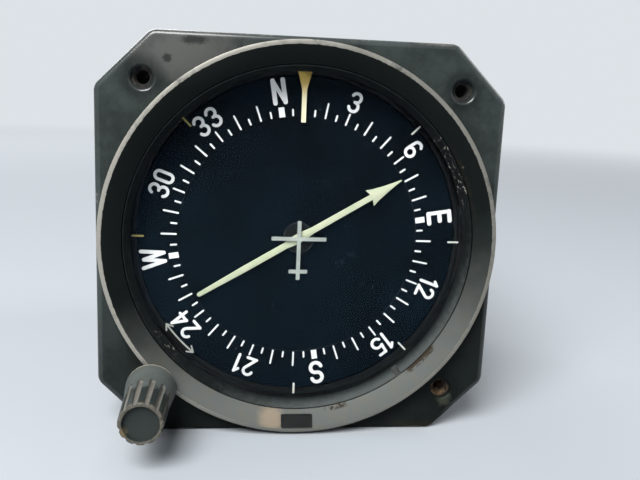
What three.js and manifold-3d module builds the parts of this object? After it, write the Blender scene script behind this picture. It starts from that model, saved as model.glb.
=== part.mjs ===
// Automatic direction finder indicator: a square panel instrument with a round dial, a compass card that is
// turned by a knob through a gear train, and a pointer that is turned by a synchro behind the dial.
// Millimetres, +Z up. The dial faces -Y. A station is a distance behind the flange's front face, so that
// what stands in front of the flange has a negative station.

import * as THREE from "three";
import { mergeVertices } from "three/addons/utils/BufferGeometryUtils.js";
import Module from "manifold-3d";

const wasm = await Module();
wasm.setup();

// Clearances and tolerances
const runningGap = 0.3;
const snapGap = 0.15;
const cutOverrun = 1;
const weldDistance = 0.0001;

// Numbers of facets round a circle
const dialFacets = 60;
const hiddenRingFacets = 28;
const bodyFacets = 20;
const smallFacets = 10;
const screwFacets = 8;

// Flange
const flangeWidth = 81;
const flangeThickness = 6;
const flangeCornerShare = 0.1284;
const flangeCornerRadius = 2.5;
const flangeEdgeRound = 1;

// Ring round the window, with its worn flat rim and the shallow cone inside it
const ringMargin = 0.7;
const ringHeight = 3;
const rimWidth = 1.05;
const coneWidth = 3.45;
const coneDepth = 1.4;
const ringRootShare = 0.5;

// Panel screws and their threaded inserts
const screwInsetShare = 0.11198;
const screwHoleRadius = 2.1;
const screwHoleChamfer = 0.35;
const insertDepth = 1.2;
const insertRadius = 2.6;
const insertBoreRadius = 1.35;

// Window
const windowDepth = 1.5;
const windowThickness = 2.4;
const gasketThickness = 0.5;
const gasketWidth = 1;
const shelfWidth = 1;
const retainerWidth = 1.15;
const retainerLead = 0.1;
const retainerEdge = 0.25;
const retainerSplit = 3;
const retainerSplitDegrees = -52;

// Compass card, its hub and the ring of lamps round it
const cardLip = 0.6;
const cardEdgeGap = 0.5;
const cardSetback = 1.7;
const cardThickness = 0.9;
const cardRecess = 0.15;
const cardCentreShare = 0.753;
const cardHeadingDegrees = -9.53;
const cardHoleRadius = 2.4;
const hubFlangeRadius = 9;
const hubFlangeThickness = 1.2;
const hubRadius = 4;
const hubShoulderWidth = 1;
const hubShoulderLength = 0.7;
const lampRingWidth = 2.7;
const lampRadius = 0.75;
const lampLength = 2.4;
const lampInsetShare = 0.5;

// Plates that carry the gear train
const plateGap = 3;
const plateThickness = 2;
const gearSpace = 5;
const plateEdgeGap = 0.4;
const bearingWidth = 1.5;
const bearingThickness = 2.4;
const bearingLip = 0.5;
const screwPassRadius = 2.4;

// Gear train
const cardTeeth = 72;
const idlerTeeth = 18;
const knobTeeth = 8;
const trainBendShare = 0.987;
const gearThickness = 1.5;
const gearSetback = 0.3;
const toothAddendumShare = 0.8;
const toothDedendumShare = 1.15;
const toothRootShare = 0.5;
const toothTipShare = 0.2;
const gearWindowCount = 6;
const gearWindowShare = 0.2;
const gearWindowPlaceShare = 0.6;
const idlerPinRadius = 1.2;
const idlerShoulderRadius = 2.6;
const idlerShoulderLength = 0.8;
const idlerHubWall = 1.4;
const pinionNeckRadius = 1;
const pinionHubWall = 0.6;

// Posts that hold the frame together
const postRadius = 1.8;
const postRise = 19;
const postEdgeGap = 0.2;
const postStudRadius = 0.9;
const postStudLength = 4;
const bossWall = 1;
const spacerStudRadius = 1.2;
const spacerStudLength = 4.4;
const postHoleDepth = 7;

// Case and its rear cover
const caseInset = 1.2;
const caseWall = 1;
const caseCornerStep = 1.4;
const caseCornerRadius = 2.5;
const caseInnerRadius = 1.5;
const caseLength = 84;
const coverThickness = 1.5;
const coverLipDepth = 2.5;
const coverLipWall = 0.6;
const coverLipGap = 0.3;
const coverScrewHeadRadius = 1.9;
const coverScrewHeadHeight = 1.4;
const coverScrewLength = 6;
const screwSlotWidth = 0.5;
const screwSlotShare = 0.45;

// Synchro
const synchroRadius = 13.5;
const synchroLength = 44;
const synchroWall = 1.2;
const synchroRimWidth = 1;
const synchroRimThickness = 1.5;
const synchroFrontWall = 2.8;
const synchroBearingWidth = 2.8;
const synchroBearingThickness = 1.5;
const synchroLip = 0.6;
const capPlugLength = 1.5;
const capThickness = 2;
const capBoreDepth = 1.8;
const statorWall = 3.6;
const statorLength = 28;
const rotorGap = 0.4;
const rotorLength = 22;
const rotorSlotShare = 0.42;
const rotorCoreShare = 0.32;
const windingSetback = 8;
const clampLip = 1.2;
const clampWidth = 3.3;
const clampThickness = 1.5;
const clampScrewRadius = 0.8;
const clampScrewHeadRadius = 1.4;
const clampScrewHeadHeight = 1.2;
const clampScrewCount = 3;

// Pointer and its shaft
const pointerSetback = 0.65;
const pointerThickness = 0.4;
const pointerReach = 24.66;
const pointerTail = 24.3;
const pointerWidth = 1.5;
const pointerHeadLength = 8;
const pointerHeadWidth = 4;
const pointerSweepShare = 0.14;
const pointerWaistShare = 0.4;
const pointerWaistPlaceShare = 0.5;
const pointerHubWiden = 0.3;
const pointerHubReach = 3.3;
const pointerTailRound = 1.2;
const pointerTailWidthShare = 0.35;
const pointerHeadingDegrees = 58.75;
const pointerHubRadius = 3.6;
const pointerHubThickness = 0.35;
const pointerShaftRadius = 1.2;

// Knob, its shaft and bush
const knobDegrees = -134.71;
const knobRingClearance = 0.44;
const knobRingGap = 0.3;
const knobLength = 17;
const knobBaseRadius = 5;
const knobBaseLength = 0.9;
const knobSkirtLength = 5.6;
const knobGripRadius = 4.5;
const knobFrontRadius = 4.15;
const knobRimRound = 0.3;
const knobRimWidth = 0.8;
const knobRecess = 1;
const knobWeb = 0.8;
const knobFluteCount = 12;
const knobFluteRadius = 0.85;
const knobFluteDepth = 0.62;
const knobFluteSetback = 6.8;
const knobShaftRadius = 1.55;
const knobShaftEndGap = 0.3;
const bushWall = 1;
const bushFlangeWall = 1.7;
const bushFlangeThickness = 1.2;
const bushTail = 1.5;
const setScrewRadius = 0.6;
const setScrewPlace = 1.4;
const setScrewDepth = 0.4;
const setScrewDegrees = 225;

// Connector, circuit board and wiring
const connectorFlangeWidth = 39.2;
const connectorFlangeHeight = 12.6;
const connectorFlangeThickness = 1;
const connectorFlangeRound = 1.5;
const connectorShoulder = 7.2;
const connectorHeight = 8.2;
const connectorTaper = 1.4;
const connectorRound = 1.6;
const connectorReach = 5.5;
const connectorWall = 0.6;
const connectorInnerSetback = 0.4;
const connectorTail = 5.5;
const jackpostEdge = 2.95;
const jackpostRadius = 2.7;
const jackpostLength = 5;
const jackpostShankRadius = 1.2;
const jackpostShankLength = 3;
const jackpostBoreShare = 0.45;
const jackpostBoreDepth = 3.5;
const boardPostGap = 4.6;
const boardHeight = 52;
const boardThickness = 1.6;
const boardRound = 2;
const capacitorRadius = 3.5;
const capacitorLength = 7;
const capacitorRise = 14;
const capacitorSpread = 12;
const transformerWidth = 14;
const transformerHeight = 12;
const transformerDepth = 6;
const transformerDrop = 14;
const transformerEdge = 6;
const harnessRadius = 2;
const harnessStartDrop = 8;
const harnessEndDrop = 13;
const harnessStraight = 3;
const harnessSteps = 16;
const harnessSides = 8;

// Places that follow from the sizes above
const flangeHalf = flangeWidth / 2;
const flangeCornerCut = flangeWidth * flangeCornerShare;
const screwOffset = flangeHalf - flangeWidth * screwInsetShare;
const ringRadius = flangeHalf - ringMargin;
const pocketRadius = ringRadius - rimWidth - coneWidth;
const windowRadius = pocketRadius - runningGap;
const windowBack = windowDepth + windowThickness;
const shelfStation = windowBack + gasketThickness;
const boreRadius = pocketRadius - shelfWidth;
const lampRingInner = boreRadius - cardLip;
const lampRingOuter = lampRingInner + lampRingWidth;
const cardRadius = lampRingInner - cardEdgeGap;
const cardStation = windowBack + cardSetback;
const cardBack = cardStation + cardThickness;
const pointerStation = windowBack + pointerSetback;
const frontPlateStation = flangeThickness + plateGap;
const frontPlateBack = frontPlateStation + plateThickness;
const gearPlateStation = frontPlateBack + gearSpace;
const gearPlateBack = gearPlateStation + plateThickness;
const gearStation = frontPlateBack + hubShoulderLength + gearSetback;
const gearBack = gearStation + gearThickness;
const caseHalf = flangeHalf - caseInset;
const caseInnerHalf = caseHalf - caseWall;
const caseCornerCut = flangeCornerCut - caseCornerStep;
const caseBack = flangeThickness + caseLength;
const coverBack = caseBack + coverThickness;
const postSide = caseInnerHalf - coverLipGap - coverLipWall - postEdgeGap - postRadius;
const synchroBack = gearPlateBack + synchroLength;
const bushBore = knobShaftRadius + runningGap;
const bushFlangeRadius = bushBore + bushFlangeWall;
const knobDistance = ringRadius + knobRingClearance + knobShaftRadius;
const knobAngle = THREE.MathUtils.degToRad(knobDegrees);
const knobRight = knobDistance * Math.cos(knobAngle);
const knobUp = knobDistance * Math.sin(knobAngle);
const knobBack = -(ringHeight + knobRingGap);
const knobFront = knobBack - knobLength;
const knobBoreFloor = knobFront + knobRecess + knobWeb;
const connectorWidth = connectorFlangeWidth - 2 * connectorShoulder;
const jackpostSide = connectorFlangeWidth / 2 - jackpostEdge;
const connectorFlangeBack = coverBack + connectorFlangeThickness;
const connectorBack = connectorFlangeBack + connectorReach;
const boardBack = caseBack - connectorTail;
const boardStation = boardBack - boardThickness;
const boardWidth = 2 * (postSide - postRadius - boardPostGap);
const transformerSide = (boardWidth - transformerWidth) / 2 - transformerEdge;

// The train's module is the one whose pitch radii span the distance from the dial's axis to the knob's
const gearModule = (2 * knobDistance) / (trainBendShare * (cardTeeth + 2 * idlerTeeth + knobTeeth));
const pitchRadius = (teeth) => (gearModule * teeth) / 2;
const cardToIdler = pitchRadius(cardTeeth + idlerTeeth);
const idlerToKnob = pitchRadius(idlerTeeth + knobTeeth);
const idlerLead = Math.acos(
  (cardToIdler ** 2 + knobDistance ** 2 - idlerToKnob ** 2) / (2 * cardToIdler * knobDistance),
);
const idlerAngle = knobAngle + idlerLead;
const idlerRight = cardToIdler * Math.cos(idlerAngle);
const idlerUp = cardToIdler * Math.sin(idlerAngle);
const idlerToKnobAngle = Math.atan2(knobUp - idlerUp, knobRight - idlerRight);

// Finishes
const finish = (color, roughness, metalness) => new THREE.MeshStandardMaterial({ color, roughness, metalness });
const finishes = {
  crackleGrey: finish(0x3b403e, 0.7, 0.1),
  glass: new THREE.MeshStandardMaterial({ color: 0xd8e2e0, roughness: 0.05, transparent: true, opacity: 0.3 }),
  blackRubber: finish(0x151515, 0.9, 0),
  blackMetal: finish(0x1b1c1d, 0.55, 0.3),
  cardBlack: finish(0x0b0c0f, 0.8, 0),
  pointerCream: finish(0xd9dca0, 0.6, 0),
  brass: finish(0xb08d4a, 0.4, 0.9),
  steel: finish(0x9a9c9e, 0.35, 0.9),
  aluminium: finish(0xb4b6b8, 0.45, 0.9),
  casePaint: finish(0x26292a, 0.6, 0.2),
  knobPlastic: finish(0x4a4d4b, 0.6, 0),
  lampGlass: finish(0xe8e2cf, 0.2, 0),
  copper: finish(0xa8643a, 0.45, 0.8),
  boardGreen: finish(0x2f5a3a, 0.6, 0),
  insulatorBlack: finish(0x121212, 0.5, 0),
  plated: finish(0xa9a48c, 0.35, 0.9),
  cableGrey: finish(0x6c6f70, 0.7, 0),
};

// Turns a closed geometry into a solid that can be joined and cut
function solidOf(geometry) {
  const loose = geometry.index ? geometry.toNonIndexed() : geometry.clone();
  const bare = new THREE.BufferGeometry().setAttribute("position", loose.getAttribute("position"));
  const merged = mergeVertices(bare, weldDistance);
  return new wasm.Manifold(
    new wasm.Mesh({
      numProp: 3,
      vertProperties: merged.attributes.position.array,
      triVerts: new Uint32Array(merged.index.array),
    }),
  );
}

// Turns a solid back into a geometry
function geometryOf(solid) {
  const cut = solid.getMesh();
  const geometry = new THREE.BufferGeometry();
  geometry.setAttribute("position", new THREE.BufferAttribute(cut.vertProperties, 3));
  geometry.setIndex(new THREE.BufferAttribute(cut.triVerts, 1));
  geometry.computeVertexNormals();
  return geometry;
}

const join = (solids) => solids.reduce((whole, next) => whole.add(next));
const cutAll = (body, cutters) => cutters.reduce((left, cutter) => left.subtract(cutter), body);

// Twice the area that a profile goes round, which is positive when it runs anticlockwise
function turningArea(points) {
  return points.reduce((sum, [r, y], i) => {
    const [nextR, nextY] = points[(i + 1) % points.length];
    return sum + r * nextY - nextR * y;
  }, 0);
}

// A solid of revolution about the Y axis. The profile is a list of [radius, station] pairs, and it either
// starts and ends on the axis or goes round a section clear of the axis.
function turned(profile, facets) {
  const ordered = turningArea(profile) > 0 ? profile : [...profile].reverse();
  const onAxis = ordered.some(([radius]) => radius === 0);
  const firstOnAxis = ordered.findIndex(([radius], i) => radius === 0 && ordered.at(i - 1)[0] === 0);
  const run = onAxis ? [...ordered.slice(firstOnAxis), ...ordered.slice(0, firstOnAxis)] : [...ordered, ordered[0]];
  const points = run.map(([radius, station]) => new THREE.Vector2(radius, station));
  return solidOf(new THREE.LatheGeometry(points, facets));
}

// A cylinder along Y between two stations, centred on a place on the dial's plane
function rod(radius, front, back, facets, right = 0, up = 0) {
  const profile = [
    [0, front],
    [radius, front],
    [radius, back],
    [0, back],
  ];
  return turned(profile, facets).translate([right, 0, up]);
}

// A flat plate between two stations. The outline is drawn as it is seen from the front.
function plate(outline, front, back, arcSteps) {
  const geometry = new THREE.ExtrudeGeometry(outline, {
    depth: back - front,
    bevelEnabled: false,
    curveSegments: arcSteps,
  });
  geometry.rotateX(Math.PI / 2);
  geometry.translate(0, back, 0);
  return solidOf(geometry);
}

// A box between two stations, centred on a place on the dial's plane
function block(width, height, front, back, right = 0, up = 0) {
  const geometry = new THREE.BoxGeometry(width, back - front, height);
  geometry.translate(right, (front + back) / 2, up);
  return solidOf(geometry);
}

// A closed outline with every corner rounded. The corners run anticlockwise and none turns inwards.
function roundedOutline(corners, radius) {
  const shape = new THREE.Shape();
  corners.forEach((corner, i) => {
    const before = corners.at(i - 1);
    const after = corners[(i + 1) % corners.length];
    const arriving = corner.clone().sub(before).normalize();
    const leaving = after.clone().sub(corner).normalize();
    const turn = Math.acos(arriving.dot(leaving));
    const start = corner.clone().addScaledVector(arriving, -radius * Math.tan(turn / 2));
    const inward = new THREE.Vector2(-arriving.y, arriving.x);
    const centre = start.clone().addScaledVector(inward, radius);
    const fromAngle = Math.atan2(-inward.y, -inward.x);
    if (i === 0) shape.moveTo(start.x, start.y);
    shape.absarc(centre.x, centre.y, radius, fromAngle, fromAngle + turn, false);
  });
  return shape;
}

// A square with its four corners cut off and rounded
function clippedSquare(half, cornerCut, cornerRadius) {
  const short = half - cornerCut;
  const corners = [
    [half, -short],
    [half, short],
    [short, half],
    [-short, half],
    [-half, short],
    [-half, -short],
    [-short, -half],
    [short, -half],
  ].map(([right, up]) => new THREE.Vector2(right, up));
  return roundedOutline(corners, cornerRadius);
}

function rectangle(width, height, radius) {
  const corners = [
    [width / 2, -height / 2],
    [width / 2, height / 2],
    [-width / 2, height / 2],
    [-width / 2, -height / 2],
  ].map(([right, up]) => new THREE.Vector2(right, up));
  return roundedOutline(corners, radius);
}

// The connector's outline, which is wider at the top than at the bottom
function connectorOutline(inset) {
  const halfTop = connectorWidth / 2 - inset;
  const halfBottom = halfTop - connectorTaper;
  const halfHeight = connectorHeight / 2 - inset;
  const corners = [
    [halfBottom, -halfHeight],
    [halfTop, halfHeight],
    [-halfTop, halfHeight],
    [-halfBottom, -halfHeight],
  ].map(([right, up]) => new THREE.Vector2(right, up));
  return roundedOutline(corners, connectorRound - inset);
}

const caseOutline = () => clippedSquare(caseHalf, caseCornerCut, caseCornerRadius);
const innerOutline = (inset) => {
  const cornerGiven = (2 - Math.SQRT2) * (caseWall + inset);
  return clippedSquare(caseInnerHalf - inset, caseCornerCut - cornerGiven, caseInnerRadius);
};

// The places on the dial's plane where pieces repeat
const screwPlaces = {
  top_left: [-screwOffset, screwOffset],
  top_right: [screwOffset, screwOffset],
  bottom_right: [screwOffset, -screwOffset],
};
const postPlaces = {
  top_left: [-postSide, postRise],
  top_right: [postSide, postRise],
  bottom_left: [-postSide, -postRise],
  bottom_right: [postSide, -postRise],
};
const lampPlaces = {
  left: -1,
  right: 1,
};
const jackpostPlaces = {
  left: -jackpostSide,
  right: jackpostSide,
};

// Adds a finished piece to a group
function add(group, name, solid, material) {
  const mesh = new THREE.Mesh(geometryOf(solid), material);
  mesh.name = name;
  group.add(mesh);
  return mesh;
}

// The cast front of the instrument: flange, ring, window pocket and the bosses behind
function bezel() {
  const arcSteps = 2;
  const outline = clippedSquare(flangeHalf, flangeCornerCut, flangeCornerRadius);
  const rounded = new THREE.ExtrudeGeometry(outline, {
    depth: flangeThickness,
    bevelThickness: flangeEdgeRound,
    bevelSize: flangeEdgeRound,
    bevelOffset: -flangeEdgeRound,
    bevelSegments: 2,
    curveSegments: arcSteps,
  });
  rounded.rotateX(Math.PI / 2);
  rounded.translate(0, flangeThickness + flangeEdgeRound, 0);
  const slab = plate(rectangle(2 * flangeWidth, 2 * flangeWidth, flangeCornerRadius), 0, flangeThickness, arcSteps);
  const flange = solidOf(rounded).intersect(slab);
  const ring = turned(
    [
      [pocketRadius, flangeThickness * ringRootShare],
      [ringRadius, flangeThickness * ringRootShare],
      [ringRadius, -ringHeight],
      [ringRadius - rimWidth, -ringHeight],
      [pocketRadius, coneDepth - ringHeight],
    ],
    dialFacets,
  );
  const bosses = Object.values(postPlaces).map(([right, up]) =>
    rod(spacerStudRadius + runningGap + bossWall, flangeThickness - cutOverrun, frontPlateStation, smallFacets, right, up),
  );
  const pocket = turned(
    [
      [0, -cutOverrun],
      [pocketRadius, -cutOverrun],
      [pocketRadius, shelfStation],
      [boreRadius, shelfStation],
      [boreRadius, flangeThickness + cutOverrun],
      [0, flangeThickness + cutOverrun],
    ],
    dialFacets,
  );
  const studHoles = Object.values(postPlaces).map(([right, up]) =>
    rod(
      spacerStudRadius + runningGap,
      frontPlateBack - spacerStudLength - runningGap,
      frontPlateStation + cutOverrun,
      smallFacets,
      right,
      up,
    ),
  );
  const screwHoles = Object.values(screwPlaces).map(([right, up]) =>
    turned(
      [
        [0, -cutOverrun],
        [screwHoleRadius + screwHoleChamfer + cutOverrun, -cutOverrun],
        [screwHoleRadius, screwHoleChamfer],
        [screwHoleRadius, insertDepth],
        [insertRadius + runningGap, insertDepth],
        [insertRadius + runningGap, flangeThickness + cutOverrun],
        [0, flangeThickness + cutOverrun],
      ],
      smallFacets,
    ).translate([right, 0, up]),
  );
  const bushHole = rod(
    bushBore + bushWall + runningGap,
    -cutOverrun,
    flangeThickness + cutOverrun,
    smallFacets,
    knobRight,
    knobUp,
  );
  // The bush's flange and the knob's shaft pass the ring in a hollow in its side
  const bushHollow = rod(
    bushFlangeRadius + runningGap,
    -ringHeight - cutOverrun,
    0,
    smallFacets,
    knobRight,
    knobUp,
  );
  const holes = [...studHoles, ...screwHoles, bushHole, bushHollow];
  return cutAll(join([flange.subtract(pocket), ring, ...bosses]), holes);
}

function windowGlass() {
  return rod(windowRadius, windowDepth, windowBack, dialFacets);
}

function windowGasket() {
  return turned(
    [
      [windowRadius - gasketWidth, windowBack],
      [windowRadius, windowBack],
      [windowRadius, shelfStation],
      [windowRadius - gasketWidth, shelfStation],
    ],
    hiddenRingFacets,
  );
}

// The split ring that holds the window in, with a steep face that goes on from the cone
function retainingRing() {
  const outer = pocketRadius - snapGap;
  const front = coneDepth - ringHeight + retainerLead;
  const ring = turned(
    [
      [outer, front],
      [outer, windowDepth],
      [outer - retainerWidth, windowDepth],
      [outer - retainerWidth, windowDepth - retainerEdge],
      [outer - retainerEdge, front],
    ],
    dialFacets,
  );
  const split = block(2 * retainerWidth + cutOverrun, retainerSplit, front - cutOverrun, windowDepth + cutOverrun, outer);
  return ring.subtract(split.rotate([0, -retainerSplitDegrees, 0]));
}

// The black ring round the card, with a pocket for each lamp that opens towards the card
function lampRing() {
  const ring = turned(
    [
      [lampRingInner, flangeThickness],
      [lampRingOuter, flangeThickness],
      [lampRingOuter, frontPlateStation],
      [lampRingInner, frontPlateStation],
    ],
    hiddenRingFacets,
  );
  const pocketFront = frontPlateStation - lampLength - runningGap;
  const pockets = Object.values(lampPlaces).flatMap((side) => {
    const place = side * (lampRingInner + lampRingWidth * lampInsetShare);
    const pocketWidth = 2 * (lampRadius + runningGap);
    return [
      rod(pocketWidth / 2, pocketFront, frontPlateStation + cutOverrun, smallFacets, place),
      block(lampRingWidth, pocketWidth / 2, pocketFront, frontPlateStation - lampRadius, place - (side * lampRingWidth) / 2),
    ];
  });
  return cutAll(ring, pockets);
}

function dialLamp() {
  const front = frontPlateStation - lampLength;
  return turned(
    [
      [0, front],
      [lampRadius / 2, front],
      [lampRadius, front + lampRadius / 2],
      [lampRadius, frontPlateStation],
      [0, frontPlateStation],
    ],
    screwFacets,
  );
}

function mountingInsert() {
  return turned(
    [
      [insertBoreRadius, insertDepth],
      [insertRadius, insertDepth],
      [insertRadius, flangeThickness],
      [insertBoreRadius, flangeThickness],
    ],
    smallFacets,
  );
}

// The bush in the flange that the knob's shaft turns in
function knobBush() {
  return turned(
    [
      [bushBore, -bushFlangeThickness],
      [bushFlangeRadius, -bushFlangeThickness],
      [bushFlangeRadius, 0],
      [bushBore + bushWall, 0],
      [bushBore + bushWall, flangeThickness + bushTail],
      [bushBore, flangeThickness + bushTail],
    ],
    smallFacets,
  );
}

// The stepped hole that a plate holds a bearing in, open at the side that the bearing goes in from
function bearingSeat(openStation, lipStation) {
  const outer = hubRadius + runningGap + bearingThickness + runningGap;
  const away = Math.sign(lipStation - openStation);
  return turned(
    [
      [0, openStation - away * cutOverrun],
      [outer, openStation - away * cutOverrun],
      [outer, lipStation - away * bearingLip],
      [outer - runningGap - bearingLip, lipStation - away * bearingLip],
      [outer - runningGap - bearingLip, lipStation + away * cutOverrun],
      [0, lipStation + away * cutOverrun],
    ],
    bodyFacets,
  );
}

function cardBearing(front) {
  const bore = hubRadius + runningGap;
  return turned(
    [
      [bore, front],
      [bore + bearingThickness, front],
      [bore + bearingThickness, front + bearingWidth],
      [bore, front + bearingWidth],
    ],
    bodyFacets,
  );
}

function frontPlate() {
  const body = plate(innerOutline(plateEdgeGap), frontPlateStation, frontPlateBack, 1);
  const through = (radius, right, up) =>
    rod(radius, frontPlateStation - cutOverrun, frontPlateBack + cutOverrun, smallFacets, right, up);
  return cutAll(body, [
    bearingSeat(frontPlateStation, frontPlateBack),
    ...Object.values(postPlaces).map(([right, up]) => through(spacerStudRadius + runningGap, right, up)),
    ...Object.values(screwPlaces).map(([right, up]) => through(screwPassRadius, right, up)),
    through(knobShaftRadius + runningGap, knobRight, knobUp),
    through(idlerPinRadius + runningGap, idlerRight, idlerUp),
  ]);
}

// The places of the screws round the synchro's clamp ring
function clampScrewPlaces() {
  const reach = synchroRadius + synchroRimWidth + runningGap + (clampWidth - clampLip) / 2;
  return Array.from({ length: clampScrewCount }, (_, i) => {
    const angle = Math.PI / 2 + (i * 2 * Math.PI) / clampScrewCount;
    return [reach * Math.cos(angle), reach * Math.sin(angle)];
  });
}

function gearPlate() {
  const body = plate(innerOutline(plateEdgeGap), gearPlateStation, gearPlateBack, 1);
  const through = (radius, right, up) =>
    rod(radius, gearPlateStation - cutOverrun, gearPlateBack + cutOverrun, smallFacets, right, up);
  return cutAll(body, [
    bearingSeat(gearPlateBack, gearPlateStation),
    ...Object.values(postPlaces).map(([right, up]) => through(postStudRadius + runningGap, right, up)),
    ...clampScrewPlaces().map(([right, up]) => through(clampScrewRadius + runningGap, right, up)),
    through(pinionNeckRadius + runningGap, knobRight, knobUp),
    through(idlerPinRadius + runningGap, idlerRight, idlerUp),
  ]);
}

// A spacer between the two plates, with a stud that goes through the front plate into the bezel's boss
function plateSpacer() {
  return turned(
    [
      [0, frontPlateBack - spacerStudLength],
      [spacerStudRadius, frontPlateBack - spacerStudLength],
      [spacerStudRadius, frontPlateBack],
      [postRadius, frontPlateBack],
      [postRadius, gearPlateStation],
      [postStudRadius + runningGap, gearPlateStation],
      [postStudRadius + runningGap, gearPlateBack - postStudLength - runningGap],
      [0, gearPlateBack - postStudLength - runningGap],
    ],
    screwFacets,
  );
}

// A long post from the gear plate to the rear cover, with a stud at its front and a screw hole at its back
function framePost() {
  return turned(
    [
      [0, gearPlateBack - postStudLength],
      [postStudRadius, gearPlateBack - postStudLength],
      [postStudRadius, gearPlateBack],
      [postRadius, gearPlateBack],
      [postRadius, caseBack],
      [postStudRadius + runningGap, caseBack],
      [postStudRadius + runningGap, caseBack - postHoleDepth],
      [0, caseBack - postHoleDepth],
    ],
    screwFacets,
  );
}

function idlerStud() {
  const pinFront = frontPlateStation + runningGap;
  const pinBack = gearPlateBack - runningGap;
  return turned(
    [
      [0, pinFront],
      [idlerPinRadius, pinFront],
      [idlerPinRadius, frontPlateBack],
      [idlerShoulderRadius, frontPlateBack],
      [idlerShoulderRadius, frontPlateBack + idlerShoulderLength],
      [idlerPinRadius, frontPlateBack + idlerShoulderLength],
      [idlerPinRadius, pinBack],
      [0, pinBack],
    ],
    smallFacets,
  );
}

// A spur gear between two stations. The first tooth points along the phase angle.
function spurGear(teeth, phase, front, back) {
  const pitch = (2 * Math.PI) / teeth;
  const root = pitchRadius(teeth) - toothDedendumShare * gearModule;
  const tip = pitchRadius(teeth) + toothAddendumShare * gearModule;
  const flank = [
    [root, -toothRootShare / 2],
    [tip, -toothTipShare / 2],
    [tip, toothTipShare / 2],
    [root, toothRootShare / 2],
  ];
  const outline = Array.from({ length: teeth }, (_, tooth) =>
    flank.map(([radius, share]) => {
      const angle = phase + (tooth + share) * pitch;
      return new THREE.Vector2(radius * Math.cos(angle), radius * Math.sin(angle));
    }),
  ).flat();
  return plate(new THREE.Shape(outline), front, back, 1);
}

const cardGearPhase = idlerAngle;
const idlerGearPhase = idlerAngle + Math.PI - Math.PI / idlerTeeth;
const idlerLeadPitches = ((idlerToKnobAngle - idlerGearPhase) * idlerTeeth) / (2 * Math.PI);
const pinionPhase = idlerToKnobAngle + Math.PI - ((0.5 - idlerLeadPitches) * 2 * Math.PI) / knobTeeth;

// The large gear that turns the card, with round windows that lighten it
function cardGear() {
  const gear = spurGear(cardTeeth, cardGearPhase, gearStation, gearBack);
  const reach = pitchRadius(cardTeeth) * gearWindowPlaceShare;
  const windows = Array.from({ length: gearWindowCount }, (_, i) => {
    const angle = (i * 2 * Math.PI) / gearWindowCount;
    return rod(
      pitchRadius(cardTeeth) * gearWindowShare,
      gearStation - cutOverrun,
      gearBack + cutOverrun,
      smallFacets,
      reach * Math.cos(angle),
      reach * Math.sin(angle),
    );
  });
  const bore = rod(hubRadius + runningGap, gearStation - cutOverrun, gearBack + cutOverrun, bodyFacets);
  return cutAll(gear, [bore, ...windows]);
}

function idlerGear() {
  const hubFront = frontPlateBack + idlerShoulderLength;
  const hubBack = gearPlateStation - runningGap;
  const bore = idlerPinRadius + runningGap;
  const hub = rod(bore + idlerHubWall, hubFront, hubBack, smallFacets);
  const teeth = spurGear(idlerTeeth, idlerGearPhase, gearStation, gearBack);
  return join([teeth, hub]).subtract(rod(bore, hubFront - cutOverrun, hubBack + cutOverrun, smallFacets));
}

function knobPinion() {
  const hubBack = gearPlateStation - runningGap;
  const bore = pinionNeckRadius + runningGap;
  const hub = rod(bore + pinionHubWall, gearBack - cutOverrun / 2, hubBack, smallFacets);
  const teeth = spurGear(knobTeeth, pinionPhase, gearStation, gearBack);
  return join([teeth, hub]).subtract(rod(bore, gearStation - cutOverrun, hubBack + cutOverrun, smallFacets));
}

// The annular card, a little lower in the middle than round its scale
function compassCard() {
  return turned(
    [
      [cardHoleRadius, cardStation + cardRecess],
      [cardRadius * cardCentreShare, cardStation + cardRecess],
      [cardRadius * cardCentreShare, cardStation],
      [cardRadius, cardStation],
      [cardRadius, cardBack],
      [cardHoleRadius, cardBack],
    ],
    dialFacets,
  );
}

// The hollow hub that carries the card in front and the card gear behind, and lets the pointer's shaft through
function cardHub() {
  const flangeBack = cardBack + hubFlangeThickness;
  const shoulderBack = gearStation;
  const shoulderFront = gearStation - hubShoulderLength;
  return turned(
    [
      [cardHoleRadius, cardBack],
      [hubFlangeRadius, cardBack],
      [hubFlangeRadius, flangeBack],
      [hubRadius, flangeBack],
      [hubRadius, shoulderFront],
      [hubRadius + hubShoulderWidth, shoulderFront],
      [hubRadius + hubShoulderWidth, shoulderBack],
      [hubRadius, shoulderBack],
      [hubRadius, gearPlateBack - runningGap],
      [cardHoleRadius, gearPlateBack - runningGap],
    ],
    bodyFacets,
  );
}

// The pointer, drawn upright, with a barbed head and a tapered tail
function bearingPointer() {
  const half = pointerWidth / 2;
  const barb = pointerHeadWidth / 2;
  const headBase = pointerReach - pointerHeadLength;
  const neck = headBase + pointerHeadLength * pointerSweepShare;
  const waist = headBase + pointerHeadLength * pointerWaistPlaceShare;
  const tailStart = pointerTailRound - pointerTail;
  const side = [
    [half * pointerTailWidthShare, -pointerTail],
    [half, tailStart],
    [half, -pointerHubReach],
    [half + pointerHubWiden, 0],
    [half, pointerHubReach],
    [half, neck],
    [barb, headBase],
    [barb * pointerWaistShare, waist],
  ];
  const mirrored = [...side].reverse().map(([right, up]) => [-right, up]);
  const outline = [...side, [0, pointerReach], ...mirrored].map(([right, up]) => new THREE.Vector2(right, up));
  return plate(new THREE.Shape(outline), pointerStation, pointerStation + pointerThickness, 1);
}

// The pointer's shaft, which is also the synchro's, with the dark disc that the pointer is fixed to
function pointerShaft() {
  const discFront = pointerStation + pointerThickness;
  const discBack = discFront + pointerHubThickness;
  const back = synchroBack + capBoreDepth - capPlugLength - runningGap;
  return turned(
    [
      [0, discFront],
      [pointerHubRadius, discFront],
      [pointerHubRadius, discBack],
      [pointerShaftRadius, discBack],
      [pointerShaftRadius, back],
      [0, back],
    ],
    smallFacets,
  );
}

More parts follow.
